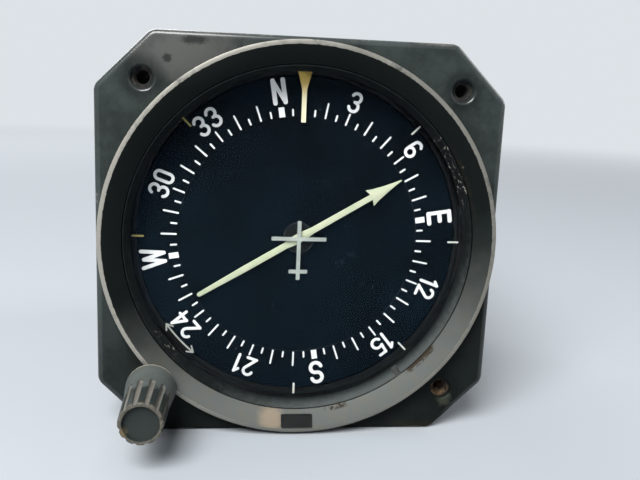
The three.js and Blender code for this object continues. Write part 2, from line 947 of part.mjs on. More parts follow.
// The synchro's housing: a can with a rim in front that the clamp ring holds, open at the back
function synchroHousing() {
  const bearingBore = pointerShaftRadius + runningGap + synchroBearingWidth + runningGap;
  const front = gearPlateBack;
  const wallBack = front + synchroFrontWall;
  return turned(
    [
      [bearingBore, front],
      [synchroRadius + synchroRimWidth, front],
      [synchroRadius + synchroRimWidth, front + synchroRimThickness],
      [synchroRadius, front + synchroRimThickness],
      [synchroRadius, synchroBack],
      [synchroRadius - synchroWall, synchroBack],
      [synchroRadius - synchroWall, wallBack],
      [bearingBore - runningGap - synchroLip, wallBack],
      [bearingBore - runningGap - synchroLip, wallBack - synchroLip],
      [bearingBore, wallBack - synchroLip],
    ],
    bodyFacets,
  );
}

function synchroBearing(front) {
  const bore = pointerShaftRadius + runningGap;
  return turned(
    [
      [bore, front],
      [bore + synchroBearingWidth, front],
      [bore + synchroBearingWidth, front + synchroBearingThickness],
      [bore, front + synchroBearingThickness],
    ],
    smallFacets,
  );
}

function synchroEndCap() {
  const bearingBore = pointerShaftRadius + runningGap + synchroBearingWidth + runningGap;
  const plugFront = synchroBack - capPlugLength;
  const plugRadius = synchroRadius - synchroWall - runningGap;
  return turned(
    [
      [0, plugFront + capBoreDepth],
      [bearingBore, plugFront + capBoreDepth],
      [bearingBore, plugFront],
      [plugRadius, plugFront],
      [plugRadius, synchroBack],
      [synchroRadius, synchroBack],
      [synchroRadius, synchroBack + capThickness],
      [0, synchroBack + capThickness],
    ],
    bodyFacets,
  );
}

function synchroStator() {
  const outer = synchroRadius - synchroWall - runningGap;
  const front = gearPlateBack + windingSetback;
  return turned(
    [
      [outer - statorWall, front],
      [outer, front],
      [outer, front + statorLength],
      [outer - statorWall, front + statorLength],
    ],
    bodyFacets,
  );
}

// The rotor, with a slot at each side of its core for the winding
function synchroRotor() {
  const radius = synchroRadius - synchroWall - runningGap - statorWall - rotorGap;
  const front = gearPlateBack + windingSetback + (statorLength - rotorLength) / 2;
  const back = front + rotorLength;
  const slotHeight = 2 * radius * rotorSlotShare;
  const slots = [-1, 1].map((side) =>
    block(
      radius,
      slotHeight,
      front - cutOverrun,
      back + cutOverrun,
      side * (radius * rotorCoreShare + radius / 2),
    ),
  );
  const bore = rod(pointerShaftRadius + runningGap, front - cutOverrun, back + cutOverrun, smallFacets);
  return cutAll(rod(radius, front, back, bodyFacets), [...slots, bore]);
}

// The ring that clamps the synchro's rim to the gear plate
function synchroClampRing() {
  const rimRadius = synchroRadius + synchroRimWidth;
  const rimBack = gearPlateBack + synchroRimThickness;
  const outer = rimRadius + runningGap + clampWidth - clampLip;
  const back = rimBack + clampThickness;
  const ring = turned(
    [
      [rimRadius + runningGap, gearPlateBack],
      [outer, gearPlateBack],
      [outer, back],
      [synchroRadius + runningGap, back],
      [synchroRadius + runningGap, rimBack],
      [rimRadius + runningGap, rimBack],
    ],
    bodyFacets,
  );
  const holes = clampScrewPlaces().map(([right, up]) =>
    rod(clampScrewRadius + runningGap, gearPlateBack - cutOverrun, back + cutOverrun, screwFacets, right, up),
  );
  return cutAll(ring, holes);
}

// A slotted screw that goes in from the back, with its head on a seat
function slottedScrew(seat, shankRadius, shankLength, headRadius, headHeight) {
  const screw = turned(
    [
      [0, seat - shankLength],
      [shankRadius, seat - shankLength],
      [shankRadius, seat],
      [headRadius, seat],
      [headRadius, seat + headHeight * (1 - screwSlotShare)],
      [headRadius - headHeight * screwSlotShare, seat + headHeight],
      [0, seat + headHeight],
    ],
    screwFacets,
  );
  const slotFloor = seat + headHeight * (1 - screwSlotShare);
  return screw.subtract(block(2 * headRadius + cutOverrun, screwSlotWidth, slotFloor, seat + headHeight + cutOverrun));
}

function caseSleeve() {
  const outline = caseOutline();
  outline.holes.push(innerOutline(0));
  return plate(outline, flangeThickness, caseBack, 2);
}

// The rear cover, with a lip that goes into the sleeve and a hole for the connector
function rearCover() {
  const lip = innerOutline(coverLipGap);
  lip.holes.push(innerOutline(coverLipGap + coverLipWall));
  const body = join([
    plate(caseOutline(), caseBack, coverBack, 2),
    plate(lip, caseBack - coverLipDepth, caseBack + coverThickness / 2, 1),
  ]);
  const connectorHole = plate(connectorOutline(0), caseBack - cutOverrun, coverBack + cutOverrun, 2);
  const screwHoles = Object.values(postPlaces).map(([right, up]) =>
    rod(postStudRadius + runningGap, caseBack - cutOverrun, coverBack + cutOverrun, screwFacets, right, up),
  );
  const jackpostHoles = Object.values(jackpostPlaces).map((right) =>
    rod(jackpostShankRadius + runningGap, caseBack - cutOverrun, coverBack + cutOverrun, screwFacets, right),
  );
  return cutAll(body, [connectorHole, ...screwHoles, ...jackpostHoles]);
}

function connectorShell() {
  const flangeOutline = rectangle(connectorFlangeWidth, connectorFlangeHeight, connectorFlangeRound);
  const body = join([
    plate(flangeOutline, coverBack, connectorFlangeBack, 2),
    plate(connectorOutline(0), coverBack, connectorBack, 2),
  ]);
  const bore = plate(connectorOutline(connectorWall), coverBack - cutOverrun, connectorBack + cutOverrun, 2);
  const jackpostHoles = Object.values(jackpostPlaces).map((right) =>
    rod(jackpostShankRadius + runningGap, coverBack - cutOverrun, connectorFlangeBack + cutOverrun, screwFacets, right),
  );
  return cutAll(body, [bore, ...jackpostHoles]);
}

function connectorInsulator() {
  const outline = connectorOutline(connectorWall + runningGap);
  return plate(outline, boardBack, connectorBack - connectorInnerSetback, 2);
}

// A hexagonal post beside the connector, threaded at its back for the plug's screw
function jackpost() {
  const back = connectorFlangeBack + jackpostLength;
  const hexagon = 6;
  const body = join([
    rod(jackpostRadius, connectorFlangeBack, back, hexagon),
    rod(jackpostShankRadius, connectorFlangeBack - jackpostShankLength, connectorFlangeBack + cutOverrun, screwFacets),
  ]);
  const bore = rod(jackpostRadius * jackpostBoreShare, back - jackpostBoreDepth, back + cutOverrun, screwFacets);
  return body.subtract(bore);
}

// The board that the connector is soldered to, with the parts that are soldered to its front
function circuitBoard() {
  const partBack = boardStation + boardThickness / 2;
  return join([
    plate(rectangle(boardWidth, boardHeight, boardRound), boardStation, boardBack, 2),
    ...[-1, 1].map((side) =>
      rod(
        capacitorRadius,
        boardStation - capacitorLength,
        partBack,
        smallFacets,
        side * capacitorSpread,
        capacitorRise,
      ),
    ),
    block(
      transformerWidth,
      transformerHeight,
      boardStation - transformerDepth,
      partBack,
      transformerSide,
      -transformerDrop,
    ),
  ]);
}

// The bundle of wires from the synchro to the board, which runs straight out of both ends
function wiringHarness() {
  const front = synchroBack + capThickness + runningGap;
  const back = boardStation - runningGap;
  const route = new THREE.CatmullRomCurve3([
    new THREE.Vector3(0, front, -harnessStartDrop),
    new THREE.Vector3(0, front + harnessStraight, -harnessStartDrop),
    new THREE.Vector3(0, back - harnessStraight, -harnessEndDrop),
    new THREE.Vector3(0, back, -harnessEndDrop),
  ]);
  const section = new THREE.Shape(
    Array.from({ length: harnessSides }, (_, i) => {
      const angle = (i * 2 * Math.PI) / harnessSides;
      return new THREE.Vector2(harnessRadius * Math.cos(angle), harnessRadius * Math.sin(angle));
    }),
  );
  return solidOf(new THREE.ExtrudeGeometry(section, { steps: harnessSteps, extrudePath: route }));
}

// The fluted knob: a round base, a skirt that slopes in, a fluted grip and a shallow dish in its front
function cardSetKnob() {
  const dish = knobFrontRadius - knobRimWidth;
  const profile = [
    [0, knobFront + knobRecess],
    [dish, knobFront + knobRecess],
    [dish, knobFront],
    [knobFrontRadius - knobRimRound, knobFront],
    [knobFrontRadius, knobFront + knobRimRound],
    [knobGripRadius, knobBack - knobBaseLength - knobSkirtLength],
    [knobBaseRadius, knobBack - knobBaseLength],
    [knobBaseRadius, knobBack],
    [knobShaftRadius + runningGap, knobBack],
    [knobShaftRadius + runningGap, knobBoreFloor],
    [0, knobBoreFloor],
  ];
  const reach = knobFrontRadius + knobFluteRadius - knobFluteDepth;
  const fluteEnd = knobBack - knobFluteSetback;
  const flutes = Array.from({ length: knobFluteCount }, (_, i) => {
    const angle = ((i + 0.5) * 2 * Math.PI) / knobFluteCount;
    return turned(
      [
        [0, knobFront - cutOverrun],
        [knobFluteRadius, knobFront - cutOverrun],
        [knobFluteRadius, fluteEnd - knobFluteRadius],
        [knobFluteRadius * Math.SQRT1_2, fluteEnd - knobFluteRadius * (1 - Math.SQRT1_2)],
        [0, fluteEnd],
      ],
      screwFacets,
    ).translate([reach * Math.cos(angle), 0, reach * Math.sin(angle)]);
  });
  const screwHole = rod(setScrewRadius + runningGap, 0, knobBaseRadius + cutOverrun, screwFacets);
  return cutAll(turned(profile, bodyFacets), [...flutes, layAcross(screwHole)]);
}

// Lays a piece that was turned along Y across the knob, pointing at the set screw's side
function layAcross(solid) {
  return solid
    .rotate([0, 0, -90])
    .rotate([0, -setScrewDegrees, 0])
    .translate([0, knobBack - setScrewPlace, 0]);
}

function knobSetScrew() {
  const start = knobShaftRadius + runningGap;
  return layAcross(rod(setScrewRadius, start, knobBaseRadius - setScrewDepth, screwFacets));
}

// The knob's shaft, necked down behind the front plate for the pinion
function knobShaft() {
  return turned(
    [
      [0, knobBoreFloor + knobShaftEndGap],
      [knobShaftRadius, knobBoreFloor + knobShaftEndGap],
      [knobShaftRadius, gearStation],
      [pinionNeckRadius, gearStation],
      [pinionNeckRadius, gearPlateBack - runningGap],
      [0, gearPlateBack - runningGap],
    ],
    smallFacets,
  );
}

// What is fixed: the front, the window and the rings round the card
function buildFront(group) {
  add(group, "bezel", bezel(), finishes.crackleGrey);
  add(group, "window_glass", windowGlass(), finishes.glass);
  add(group, "window_gasket", windowGasket(), finishes.blackRubber);
  add(group, "window_retaining_ring", retainingRing(), finishes.blackMetal);
  add(group, "lamp_ring", lampRing(), finishes.blackMetal);
  for (const [side, direction] of Object.entries(lampPlaces)) {
    const lamp = add(group, `dial_lamp_${side}`, dialLamp(), finishes.lampGlass);
    lamp.position.x = direction * (lampRingInner + lampRingWidth * lampInsetShare);
  }
  for (const [corner, [right, up]] of Object.entries(screwPlaces)) {
    const insert = add(group, `mounting_insert_${corner}`, mountingInsert(), finishes.brass);
    insert.position.set(right, 0, up);
  }
  const bush = add(group, "knob_bush", knobBush(), finishes.brass);
  bush.position.set(knobRight, 0, knobUp);
}

// What is fixed: the two plates, what stands between them and the bearings in them
function buildFrame(group) {
  add(group, "front_plate", frontPlate(), finishes.aluminium);
  add(group, "gear_plate", gearPlate(), finishes.aluminium);
  add(group, "card_bearing_front", cardBearing(frontPlateBack - bearingLip - bearingWidth), finishes.steel);
  add(group, "card_bearing_rear", cardBearing(gearPlateStation + bearingLip), finishes.steel);
  const stud = add(group, "idler_stud", idlerStud(), finishes.steel);
  stud.position.set(idlerRight, 0, idlerUp);
  for (const [corner, [right, up]] of Object.entries(postPlaces)) {
    const spacer = add(group, `plate_spacer_${corner}`, plateSpacer(), finishes.aluminium);
    spacer.position.set(right, 0, up);
    const post = add(group, `frame_post_${corner}`, framePost(), finishes.aluminium);
    post.position.set(right, 0, up);
  }
}

// What is fixed: the synchro's body and the ring that clamps it
function buildSynchro(group) {
  add(group, "synchro_housing", synchroHousing(), finishes.aluminium);
  add(group, "synchro_stator", synchroStator(), finishes.copper);
  add(group, "synchro_end_cap", synchroEndCap(), finishes.aluminium);
  const frontBearing = gearPlateBack + synchroFrontWall - synchroLip - synchroBearingThickness;
  const rearBearing = synchroBack - capPlugLength + capBoreDepth - synchroBearingThickness;
  add(group, "synchro_bearing_front", synchroBearing(frontBearing), finishes.steel);
  add(group, "synchro_bearing_rear", synchroBearing(rearBearing), finishes.steel);
  add(group, "synchro_clamp_ring", synchroClampRing(), finishes.aluminium);
  const clampBack = gearPlateBack + synchroRimThickness + clampThickness;
  const shankLength = clampBack - gearPlateStation - runningGap;
  clampScrewPlaces().forEach(([right, up], i) => {
    const solid = slottedScrew(clampBack, clampScrewRadius, shankLength, clampScrewHeadRadius, clampScrewHeadHeight);
    const screw = add(group, `clamp_screw_${i + 1}`, solid, finishes.steel);
    screw.position.set(right, 0, up);
  });
}

// What is fixed: the case, its cover, the connector and the board on it
function buildCase(group) {
  add(group, "case_sleeve", caseSleeve(), finishes.casePaint);
  add(group, "rear_cover", rearCover(), finishes.casePaint);
  const screwLength = coverThickness + coverScrewLength;
  for (const [corner, [right, up]] of Object.entries(postPlaces)) {
    const solid = slottedScrew(coverBack, postStudRadius, screwLength, coverScrewHeadRadius, coverScrewHeadHeight);
    const screw = add(group, `rear_cover_screw_${corner}`, solid, finishes.steel);
    screw.position.set(right, 0, up);
  }
  add(group, "connector_shell", connectorShell(), finishes.plated);
  add(group, "connector_insulator", connectorInsulator(), finishes.insulatorBlack);
  for (const [side, right] of Object.entries(jackpostPlaces)) {
    const post = add(group, `connector_jackpost_${side}`, jackpost(), finishes.plated);
    post.position.x = right;
  }
  add(group, "circuit_board", circuitBoard(), finishes.boardGreen);
  add(group, "wiring_harness", wiringHarness(), finishes.cableGrey);
}

// What turns with the card
function buildCardGroup() {
  const group = new THREE.Group();
  const card = add(group, "compass_card", compassCard(), finishes.cardBlack);
  card.rotation.y = THREE.MathUtils.degToRad(cardHeadingDegrees);
  add(group, "card_hub", cardHub(), finishes.aluminium);
  add(group, "card_gear", cardGear(), finishes.brass);
  return group;
}

// What turns with the pointer
function buildPointerGroup() {
  const group = new THREE.Group();
  group.rotation.y = THREE.MathUtils.degToRad(pointerHeadingDegrees);
  add(group, "bearing_pointer", bearingPointer(), finishes.pointerCream);
  add(group, "pointer_shaft", pointerShaft(), finishes.steel);
  add(group, "synchro_rotor", synchroRotor(), finishes.copper);
  return group;
}

// What turns with the knob
function buildKnobGroup() {
  const group = new THREE.Group();
  group.position.set(knobRight, 0, knobUp);
  add(group, "card_set_knob", cardSetKnob(), finishes.knobPlastic);
  add(group, "knob_shaft", knobShaft(), finishes.steel);
  add(group, "knob_pinion", knobPinion(), finishes.brass);
  add(group, "knob_set_screw", knobSetScrew(), finishes.steel);
  return group;
}

function buildIdlerGroup() {
  const group = new THREE.Group();
  group.position.set(idlerRight, 0, idlerUp);
  add(group, "idler_gear", idlerGear(), finishes.brass);
  return group;
}

// The whole indicator stands on its flange, with the origin under the middle of its length
const indicator = new THREE.Group();
indicator.position.set(0, -(knobFront + connectorBack) / 2, flangeHalf);
buildFront(indicator);
buildFrame(indicator);
buildSynchro(indicator);
buildCase(indicator);
indicator.add(buildCardGroup(), buildPointerGroup(), buildKnobGroup(), buildIdlerGroup());

export default indicator;
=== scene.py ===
"""Looks of the direction finder indicator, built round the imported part. Metres, in the part's own frame."""

import logging
import math
from collections.abc import Callable, Iterator
from contextlib import contextmanager
from dataclasses import dataclass
from enum import Enum
from functools import cached_property

import bmesh
import bpy
from mathutils import Euler, Matrix, Vector


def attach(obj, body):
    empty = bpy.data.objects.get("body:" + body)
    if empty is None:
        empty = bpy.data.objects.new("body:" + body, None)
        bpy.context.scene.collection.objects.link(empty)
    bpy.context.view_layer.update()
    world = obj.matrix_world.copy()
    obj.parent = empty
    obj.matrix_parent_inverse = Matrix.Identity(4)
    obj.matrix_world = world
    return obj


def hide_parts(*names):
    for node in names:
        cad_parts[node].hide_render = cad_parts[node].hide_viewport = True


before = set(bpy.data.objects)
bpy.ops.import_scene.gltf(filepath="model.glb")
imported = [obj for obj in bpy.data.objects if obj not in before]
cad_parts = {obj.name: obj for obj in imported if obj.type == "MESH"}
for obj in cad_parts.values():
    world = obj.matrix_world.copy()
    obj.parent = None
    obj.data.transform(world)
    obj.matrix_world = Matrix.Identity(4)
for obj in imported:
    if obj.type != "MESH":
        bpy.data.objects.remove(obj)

Pair = tuple[float, float]
Colour = tuple[float, float, float]
Piece = bpy.types.Object

MM = 0.001
DIAL = Vector((0.0, -0.03885, 0.0405))
"""Where the dial's axis meets the flange's front face. Pieces are modelled round it, in millimetres."""

FACING = (math.pi / 2, 0, 0)
"""Turns a flat primitive towards the front."""

FLANGE_HALF = 40.5
SCREW_SIDE = 31.43
POSTS: Pair = (35.4, 19.0)
KNOB_AXIS: Pair = (-29.4, -29.7)
STEP_RADIUS = 25.0
POCKET_RADIUS = 35.3

logging.basicConfig(level=logging.INFO, format="%(levelname)s %(message)s")
log = logging.getLogger("indicator")


class Body(Enum):
    """What a piece moves with."""

    INSTRUMENT = "instrument"
    CARD = "card"
    POINTER = "pointer"
    KNOB = "knob"


def arithmetic(operation: str, swapped: bool = False) -> Callable[..., "Wire"]:
    """Makes an operator of Wire.

    Args:
        operation: The Math node's operation.
        swapped: Whether the wire is the last input and not the first.

    Returns:
        The operator, which adds the node and gives its result.
    """

    def operator(wire: "Wire", *others: "Wire | float") -> "Wire":
        """Adds the Math node."""
        values = (*others, wire) if swapped else (wire, *others)
        return wire.graph.node("Math", {"operation": operation}, dict(enumerate(values)))

    return operator


@dataclass(frozen=True, eq=False)
class Wire:
    """A number in a shader. Python's arithmetic on it adds Math nodes."""

    graph: "Graph"
    socket: bpy.types.NodeSocket

    __add__, __radd__ = arithmetic("ADD"), arithmetic("ADD", swapped=True)
    __sub__, __rsub__ = arithmetic("SUBTRACT"), arithmetic("SUBTRACT", swapped=True)
    __mul__, __truediv__ = arithmetic("MULTIPLY"), arithmetic("DIVIDE")
    __pow__, __abs__ = arithmetic("POWER"), arithmetic("ABSOLUTE")
    upto, least = arithmetic("MINIMUM"), arithmetic("MAXIMUM")

    def rise(self, low: float, high: float) -> "Wire":
        """Goes smoothly from 0 to 1 while the number goes from low to high, which may be below low."""
        settings = {"interpolation_type": "SMOOTHSTEP", "clamp": True}
        return self.graph.node("MapRange", settings, {"Value": self, "From Min": low, "From Max": high})

    def inside(self, low: float, high: float, soft: float) -> "Wire":
        """Is 1 between low and high, and falls to 0 over a soft edge outside them."""
        return self.rise(low - soft, low) * self.rise(high + soft, high)


Value = Wire | float | tuple


def rgba(value: Value) -> Value:
    """Gives a three-part colour its fourth part, and passes anything else on."""
    return (*value, 1.0) if isinstance(value, tuple) and len(value) == 3 else value


def scaled(colour: Colour, share: float, extra: float = 0.0) -> Colour:
    """A darker or lighter shade of a colour."""
    return tuple(part * share + extra for part in colour)


@dataclass(frozen=True)
class Place:
    """Where on the object a shader is, in millimetres to the right, behind the flange's face and above the axis."""

    right: Wire
    station: Wire
    up: Wire

    def away(self, right: float = 0.0, up: float = 0.0, squash: float = 1.0) -> Wire:
        """The distance from an axis along the dial's. The part of it to the side counts by the squash."""
        return (((self.right - right) * squash) ** 2 + (self.up - up) ** 2) ** 0.5


@dataclass(frozen=True)
class Spot:
    """A mark on the dial's plane: its middle, the distance where it ends, and where it is full."""

    right: float
    up: float
    end: float
    full: float
    squash: float = 1.0

    def mask(self, at: Place, ragged: Wire | float = 0.0) -> Wire:
        """Is 1 in the mark and 0 outside it, with an edge that a noise makes ragged."""
        return (at.away(self.right, self.up, self.squash) + ragged).rise(self.end, self.full)


class Graph:
    """The nodes of a material or of the world."""

    def __init__(self, owner: bpy.types.Material | bpy.types.World, output: str = "OutputMaterial") -> None:
        """Empties the owner's node tree and adds its output."""
        owner.use_nodes = True
        self.tree = owner.node_tree
        self.tree.nodes.clear()
        self.output = self.tree.nodes.new("ShaderNode" + output)

    def node(self, kind: str, settings: dict, values: dict[str | int, Value], result: str | int = 0) -> Wire:
        """Adds any shader node.

        Args:
            kind: The node's type without its prefix.
            settings: Properties of the node, set before its sockets.
            values: A number, colour or wire for each input, by name or index.
            result: The output to return.

        Returns:
            The chosen output.
        """
        node = self.tree.nodes.new("ShaderNode" + kind)
        for key, setting in settings.items():
            setattr(node, key, setting)
        for key, value in values.items():
            if isinstance(value, Wire):
                self.tree.links.new(value.socket, node.inputs[key])
            else:
                node.inputs[key].default_value = value
        return Wire(self, node.outputs[result])

    @cached_property
    def place(self) -> Wire:
        """The place on the piece, in metres."""
        return self.node("TexCoord", {}, {}, "Object")

    @cached_property
    def at(self) -> Place:
        """The place on the dial."""
        centred = self.node("VectorMath", {"operation": "SUBTRACT"}, {0: self.place, 1: tuple(DIAL)})
        millimetres = self.node("VectorMath", {"operation": "SCALE"}, {0: centred, "Scale": 1 / MM})
        return Place(*(self.node("SeparateXYZ", {}, {0: millimetres}, axis) for axis in "XYZ"))

    def noise(self, size: float, detail: float = 3.0, roughness: float = 0.55, stretch: tuple | None = None) -> Wire:
        """A cloudy pattern between about 0.25 and 0.75.

        Args:
            size: The clouds' size in millimetres.
            detail: How many finer layers it has.
            roughness: How strong those are.
            stretch: How much finer it is along each axis.

        Returns:
            The pattern.
        """
        place = self.place
        if stretch:
            place = self.node("VectorMath", {"operation": "MULTIPLY"}, {0: place, 1: stretch})
        values = {"Vector": place, "Scale": 1 / (size * MM), "Detail": detail, "Roughness": roughness}
        return self.node("TexNoise", {}, values)

    def unevenness(self, fine: float, cloud: float) -> tuple[Wire, Wire]:
        """A rough and a slow noise about 0, whose sizes are in millimetres."""
        return self.noise(fine, 4.0, 0.7) - 0.5, self.noise(cloud, 2.0) - 0.5

    def specks(self, spacing: float, radius: float) -> Wire:
        """Small round spots of irregular size.

        Args:
            spacing: The mean distance between spots in millimetres.
            radius: The largest spot's radius as a share of the spacing.

        Returns:
            1 in a spot, 0 outside.
        """
        values = {"Vector": self.place, "Scale": 1 / (spacing * MM)}
        distance = self.node("TexVoronoi", {}, values, "Distance")
        shade = self.node("TexVoronoi", {}, values, "Color")
        size = self.node("SeparateColor", {}, {0: shade}, 0)
        return (distance + size * radius).rise(radius, radius * 0.7)

    def mix(self, share: Wire | float, first: Value, second: Value) -> Wire:
        """Goes from the first colour to the second while the share goes from 0 to 1."""
        return self.node("Mix", {"data_type": "RGBA"}, {0: share, 6: rgba(first), 7: rgba(second)}, 2)

    def layered(self, colour: Value, *layers: tuple[Wire | float, Value]) -> Wire:
        """Lays colours over a colour, each by its own share."""
        for share, tint in layers:
            colour = self.mix(share, colour, tint)
        return colour

    def bump(self, height: Wire, depth: float, strength: float) -> Wire:
        """The normal of a relief, from heights between 0 and 1 and a depth in millimetres."""
        return self.node("Bump", {}, {"Strength": strength, "Distance": depth * MM, "Height": height})

    def show(self, shader: Wire) -> None:
        """Ends the graph in a shader."""
        self.tree.links.new(shader.socket, self.output.inputs["Surface"])

    def surface(self, **values: Value) -> None:
        """Ends the graph in a Principled shader. Names are the sockets', with _ for a space."""
        named = {key.replace("_", " "): rgba(value) for key, value in values.items()}
        self.show(self.node("BsdfPrincipled", {}, named))


@dataclass(frozen=True)
class Finish:
    """What a surface is made of. Each kind writes its own nodes."""

    name: str

    def write(self, graph: Graph) -> None:
        """Writes the nodes of this finish."""
        raise NotImplementedError

    def dress(self, piece: Piece) -> None:
        """Gives a piece this finish alone. Its material is made once."""
        name = f"{self.name}_finish"
        material = bpy.data.materials.get(name)
        if material is None:
            material = bpy.data.materials.new(name)
            self.write(Graph(material))
        piece.data.materials.clear()
        piece.data.materials.append(material)


@dataclass(frozen=True)
class Paint(Finish):
    """Matt crackle paint, a little dusty."""

    colour: Colour = (0.0225, 0.0290, 0.0272)
    grain: float = 0.35
    uneven: float = 0.30
    shine: float = 0.3

    def painted(self, graph: Graph) -> tuple[Wire, Wire, Wire]:
        """The plain painted surface.

        Args:
            graph: Where the nodes go.

        Returns:
            Its colour, roughness and relief's height.
        """
        cloud = graph.noise(9.0)
        dust = graph.noise(1.6, 5.0, 0.7)
        darker = scaled(self.colour, 1 - 0.7 * self.uneven)
        lighter = scaled(self.colour, 1 + self.uneven, 0.01 * self.uneven)
        tone = (cloud * 0.6 + dust * 0.4).rise(0.36, 0.64)
        return graph.mix(tone, darker, lighter), 0.44 + dust * 0.2, graph.noise(self.grain, 2.0, 0.6)

    def write(self, graph: Graph) -> None:
        """Paint all over."""
        colour, roughness, height = self.painted(graph)
        relief = graph.bump(height, 0.03, 0.5)
        graph.surface(Base_Color=colour, Roughness=roughness, Specular_IOR_Level=self.shine, Normal=relief)


@dataclass(frozen=True)
class CastingPaint(Paint):
    """The casting's paint, worn to metal on the ring's rim and along the flange's edges, with old sealant, dust, and
    painted shade towards the lower right, on the cone's top and left and in the pocket behind the split ring.
    """

    shine: float = 0.06
    corner_sum: float = 70.2
    rim_inner: float = 38.98
    rim_outer: float = 39.86

    metal: Colour = (0.275, 0.265, 0.235)
    primer: Colour = (0.030, 0.022, 0.014)
    sealant: Colour = (0.26, 0.24, 0.19)
    dust: Colour = (0.160, 0.172, 0.164)
    brown_dust: Colour = (0.190, 0.172, 0.138)
    # Near black: the dark dirt round the holes and in the scuffs, and the colour of the painted shade.
    grime_and_shade: Colour = (0.0026, 0.0040, 0.0037)
    upper_left_grey: Colour = (0.088, 0.088, 0.083)
    stained: Colour = (0.270, 0.210, 0.145)
    smudged: Colour = (0.062, 0.068, 0.050)

    low_right: Spot = Spot(26.2, -24.2, 5.0, 2.6)
    high_right: Spot = Spot(34.0, 13.0, 11.0, 5.0)
    low_middle: Spot = Spot(8.5, -34.5, 3.0, 1.2)
    smudge: Spot = Spot(SCREW_SIDE + 0.9, -SCREW_SIDE - 2.3, 2.0, 0.9)
    stain: Spot = Spot(-5.0, -37.0, 3.6, 1.2)
    nick: Spot = Spot(-26.7, 35.2, 1.1, 0.5)
    streak: Spot = Spot(-21.8, 38.8, 1.2, 0.5, 0.35)
    warm: Spot = Spot(-22.0, 36.5, 7.5, 2.5, 0.5)

    def bare(self, at: Place, rough: Wire, slow: Wire) -> tuple[Wire, Wire]:
        """Where the paint is worn off.

        Args:
            at: The place on the dial.
            rough: The fine noise.
            slow: The cloudy noise.

        Returns:
            The bare metal, and the flange's rounded edge.
        """
        rim = (at.away() + rough * 0.35).inside(self.rim_inner, self.rim_outer, 0.1)
        rim = rim * (at.station + rough * 0.3).rise(-2.3, -2.75)
        rim = rim * (0.72 + slow * 1.6 + rough * 0.8).rise(0.1, 0.75) * (at.up + slow * 10.0).rise(-44.0, -22.0)
        beyond_corner = (abs(at.right) + abs(at.up) - self.corner_sum) / math.sqrt(2)
        beyond = (abs(at.right).least(abs(at.up)) - FLANGE_HALF).least(beyond_corner)
        edge = (beyond + rough * 0.9 + slow * 1.2).rise(-0.5, 0.12) * at.station.rise(2.6, 0.9)
        edge = edge * (rough + slow * 1.5 + at.right * 0.004).rise(0.02, 0.35) * 0.55
        return rim.least(edge), beyond.rise(-1.25, -0.95)

    def chips(self, graph: Graph, rough: Wire, slow: Wire) -> tuple[Wire, Wire]:
        """Where the cone's lower lip is chipped, and where old sealant sticks to it.

        Args:
            graph: Where the nodes go.
            rough: The fine noise.
            slow: The cloudy noise.

        Returns:
            The brown chips, and the crumbs of sealant.
        """
        at, radius = graph.at, graph.at.away()
        high = self.high_right.mask(at)
        near = self.low_right.mask(at).least(high * 0.16).least(self.low_middle.mask(at))
        lip = (radius + rough * 1.2).inside(POCKET_RADIUS - 0.6, POCKET_RADIUS + 0.75, 0.35)
        lip = lip * at.station.rise(2.0, -0.5) * (rough * 1.4 + 0.5).rise(0.42, 0.55)
        along = abs(at.right * 0.678 + at.up * 0.735 + slow * 3.0).rise(4.4, 2.8) * at.right.rise(18.0, 22.0)
        line = ((radius + rough * 1.1).inside(35.25, 35.6, 0.12) * along).rise(0.25, 0.6)
        chips = line.least(near * lip) * radius.rise(35.25, 35.3)
        foot = (at.up + rough * 3.0 + slow * 5.0).rise(-37.8, -39.8) * at.right.rise(18.0, 26.0)
        foot = foot * at.station.rise(2.0, 0.6)
        gum = graph.specks(2.6, 0.30) * near.least(high * 0.4)
        gum = gum * (radius + rough).inside(34.9, 36.6, 0.3) * at.station.rise(1.4, 0.4)
        return chips.least(foot * 0.4), gum

    def soiled_and_shaded(self, graph: Graph, colour: Wire, hole: Wire, rough: Wire, slow: Wire) -> Wire:
        """Lays dust, dark dirt and stains over the paint, with painted shade towards the lower right, on the cone's top
        and left and in the pocket behind the split ring's gap; the dust low on the cone also stands in for the light
        that falls there.

        Args:
            graph: Where the nodes go.
            colour: The paint's colour.
            hole: The distance from the nearest screw hole's axis.
            rough: The fine noise.
            slow: The cloudy noise.

        Returns:
            The colour with the dirt and the painted light and shade on it.
        """
        at, radius = graph.at, graph.at.away()
        low = at.up - at.right * 0.2 + slow * 9.0
        facing = at.up - at.right * 0.35
        cone = radius.inside(POCKET_RADIUS, self.rim_inner, 0.2)
        soot = (hole + rough * 2.5 + slow * 3.0).rise(5.6, 2.8) * at.station.rise(0.6, 0.1)
        scuff = self.nick.mask(at, rough * 1.6).least(self.streak.mask(at, rough * 1.6)) * at.station.rise(0.6, 0.1)
        # Dust on the lower cone and rim, which also stands in for the light that falls there: dust and painted light.
        dusty = radius.inside(POCKET_RADIUS, self.rim_outer, 0.2) * low.rise(-4.0, -34.0) * 0.62
        dust = graph.mix(graph.noise(2.8, 3.0).rise(0.42, 0.66) * 0.5, self.dust, self.brown_dust)
        smudge = self.smudge.mask(at, rough * 3.0) * hole.rise(2.0, 2.3) * at.station.rise(1.0, 0.2)
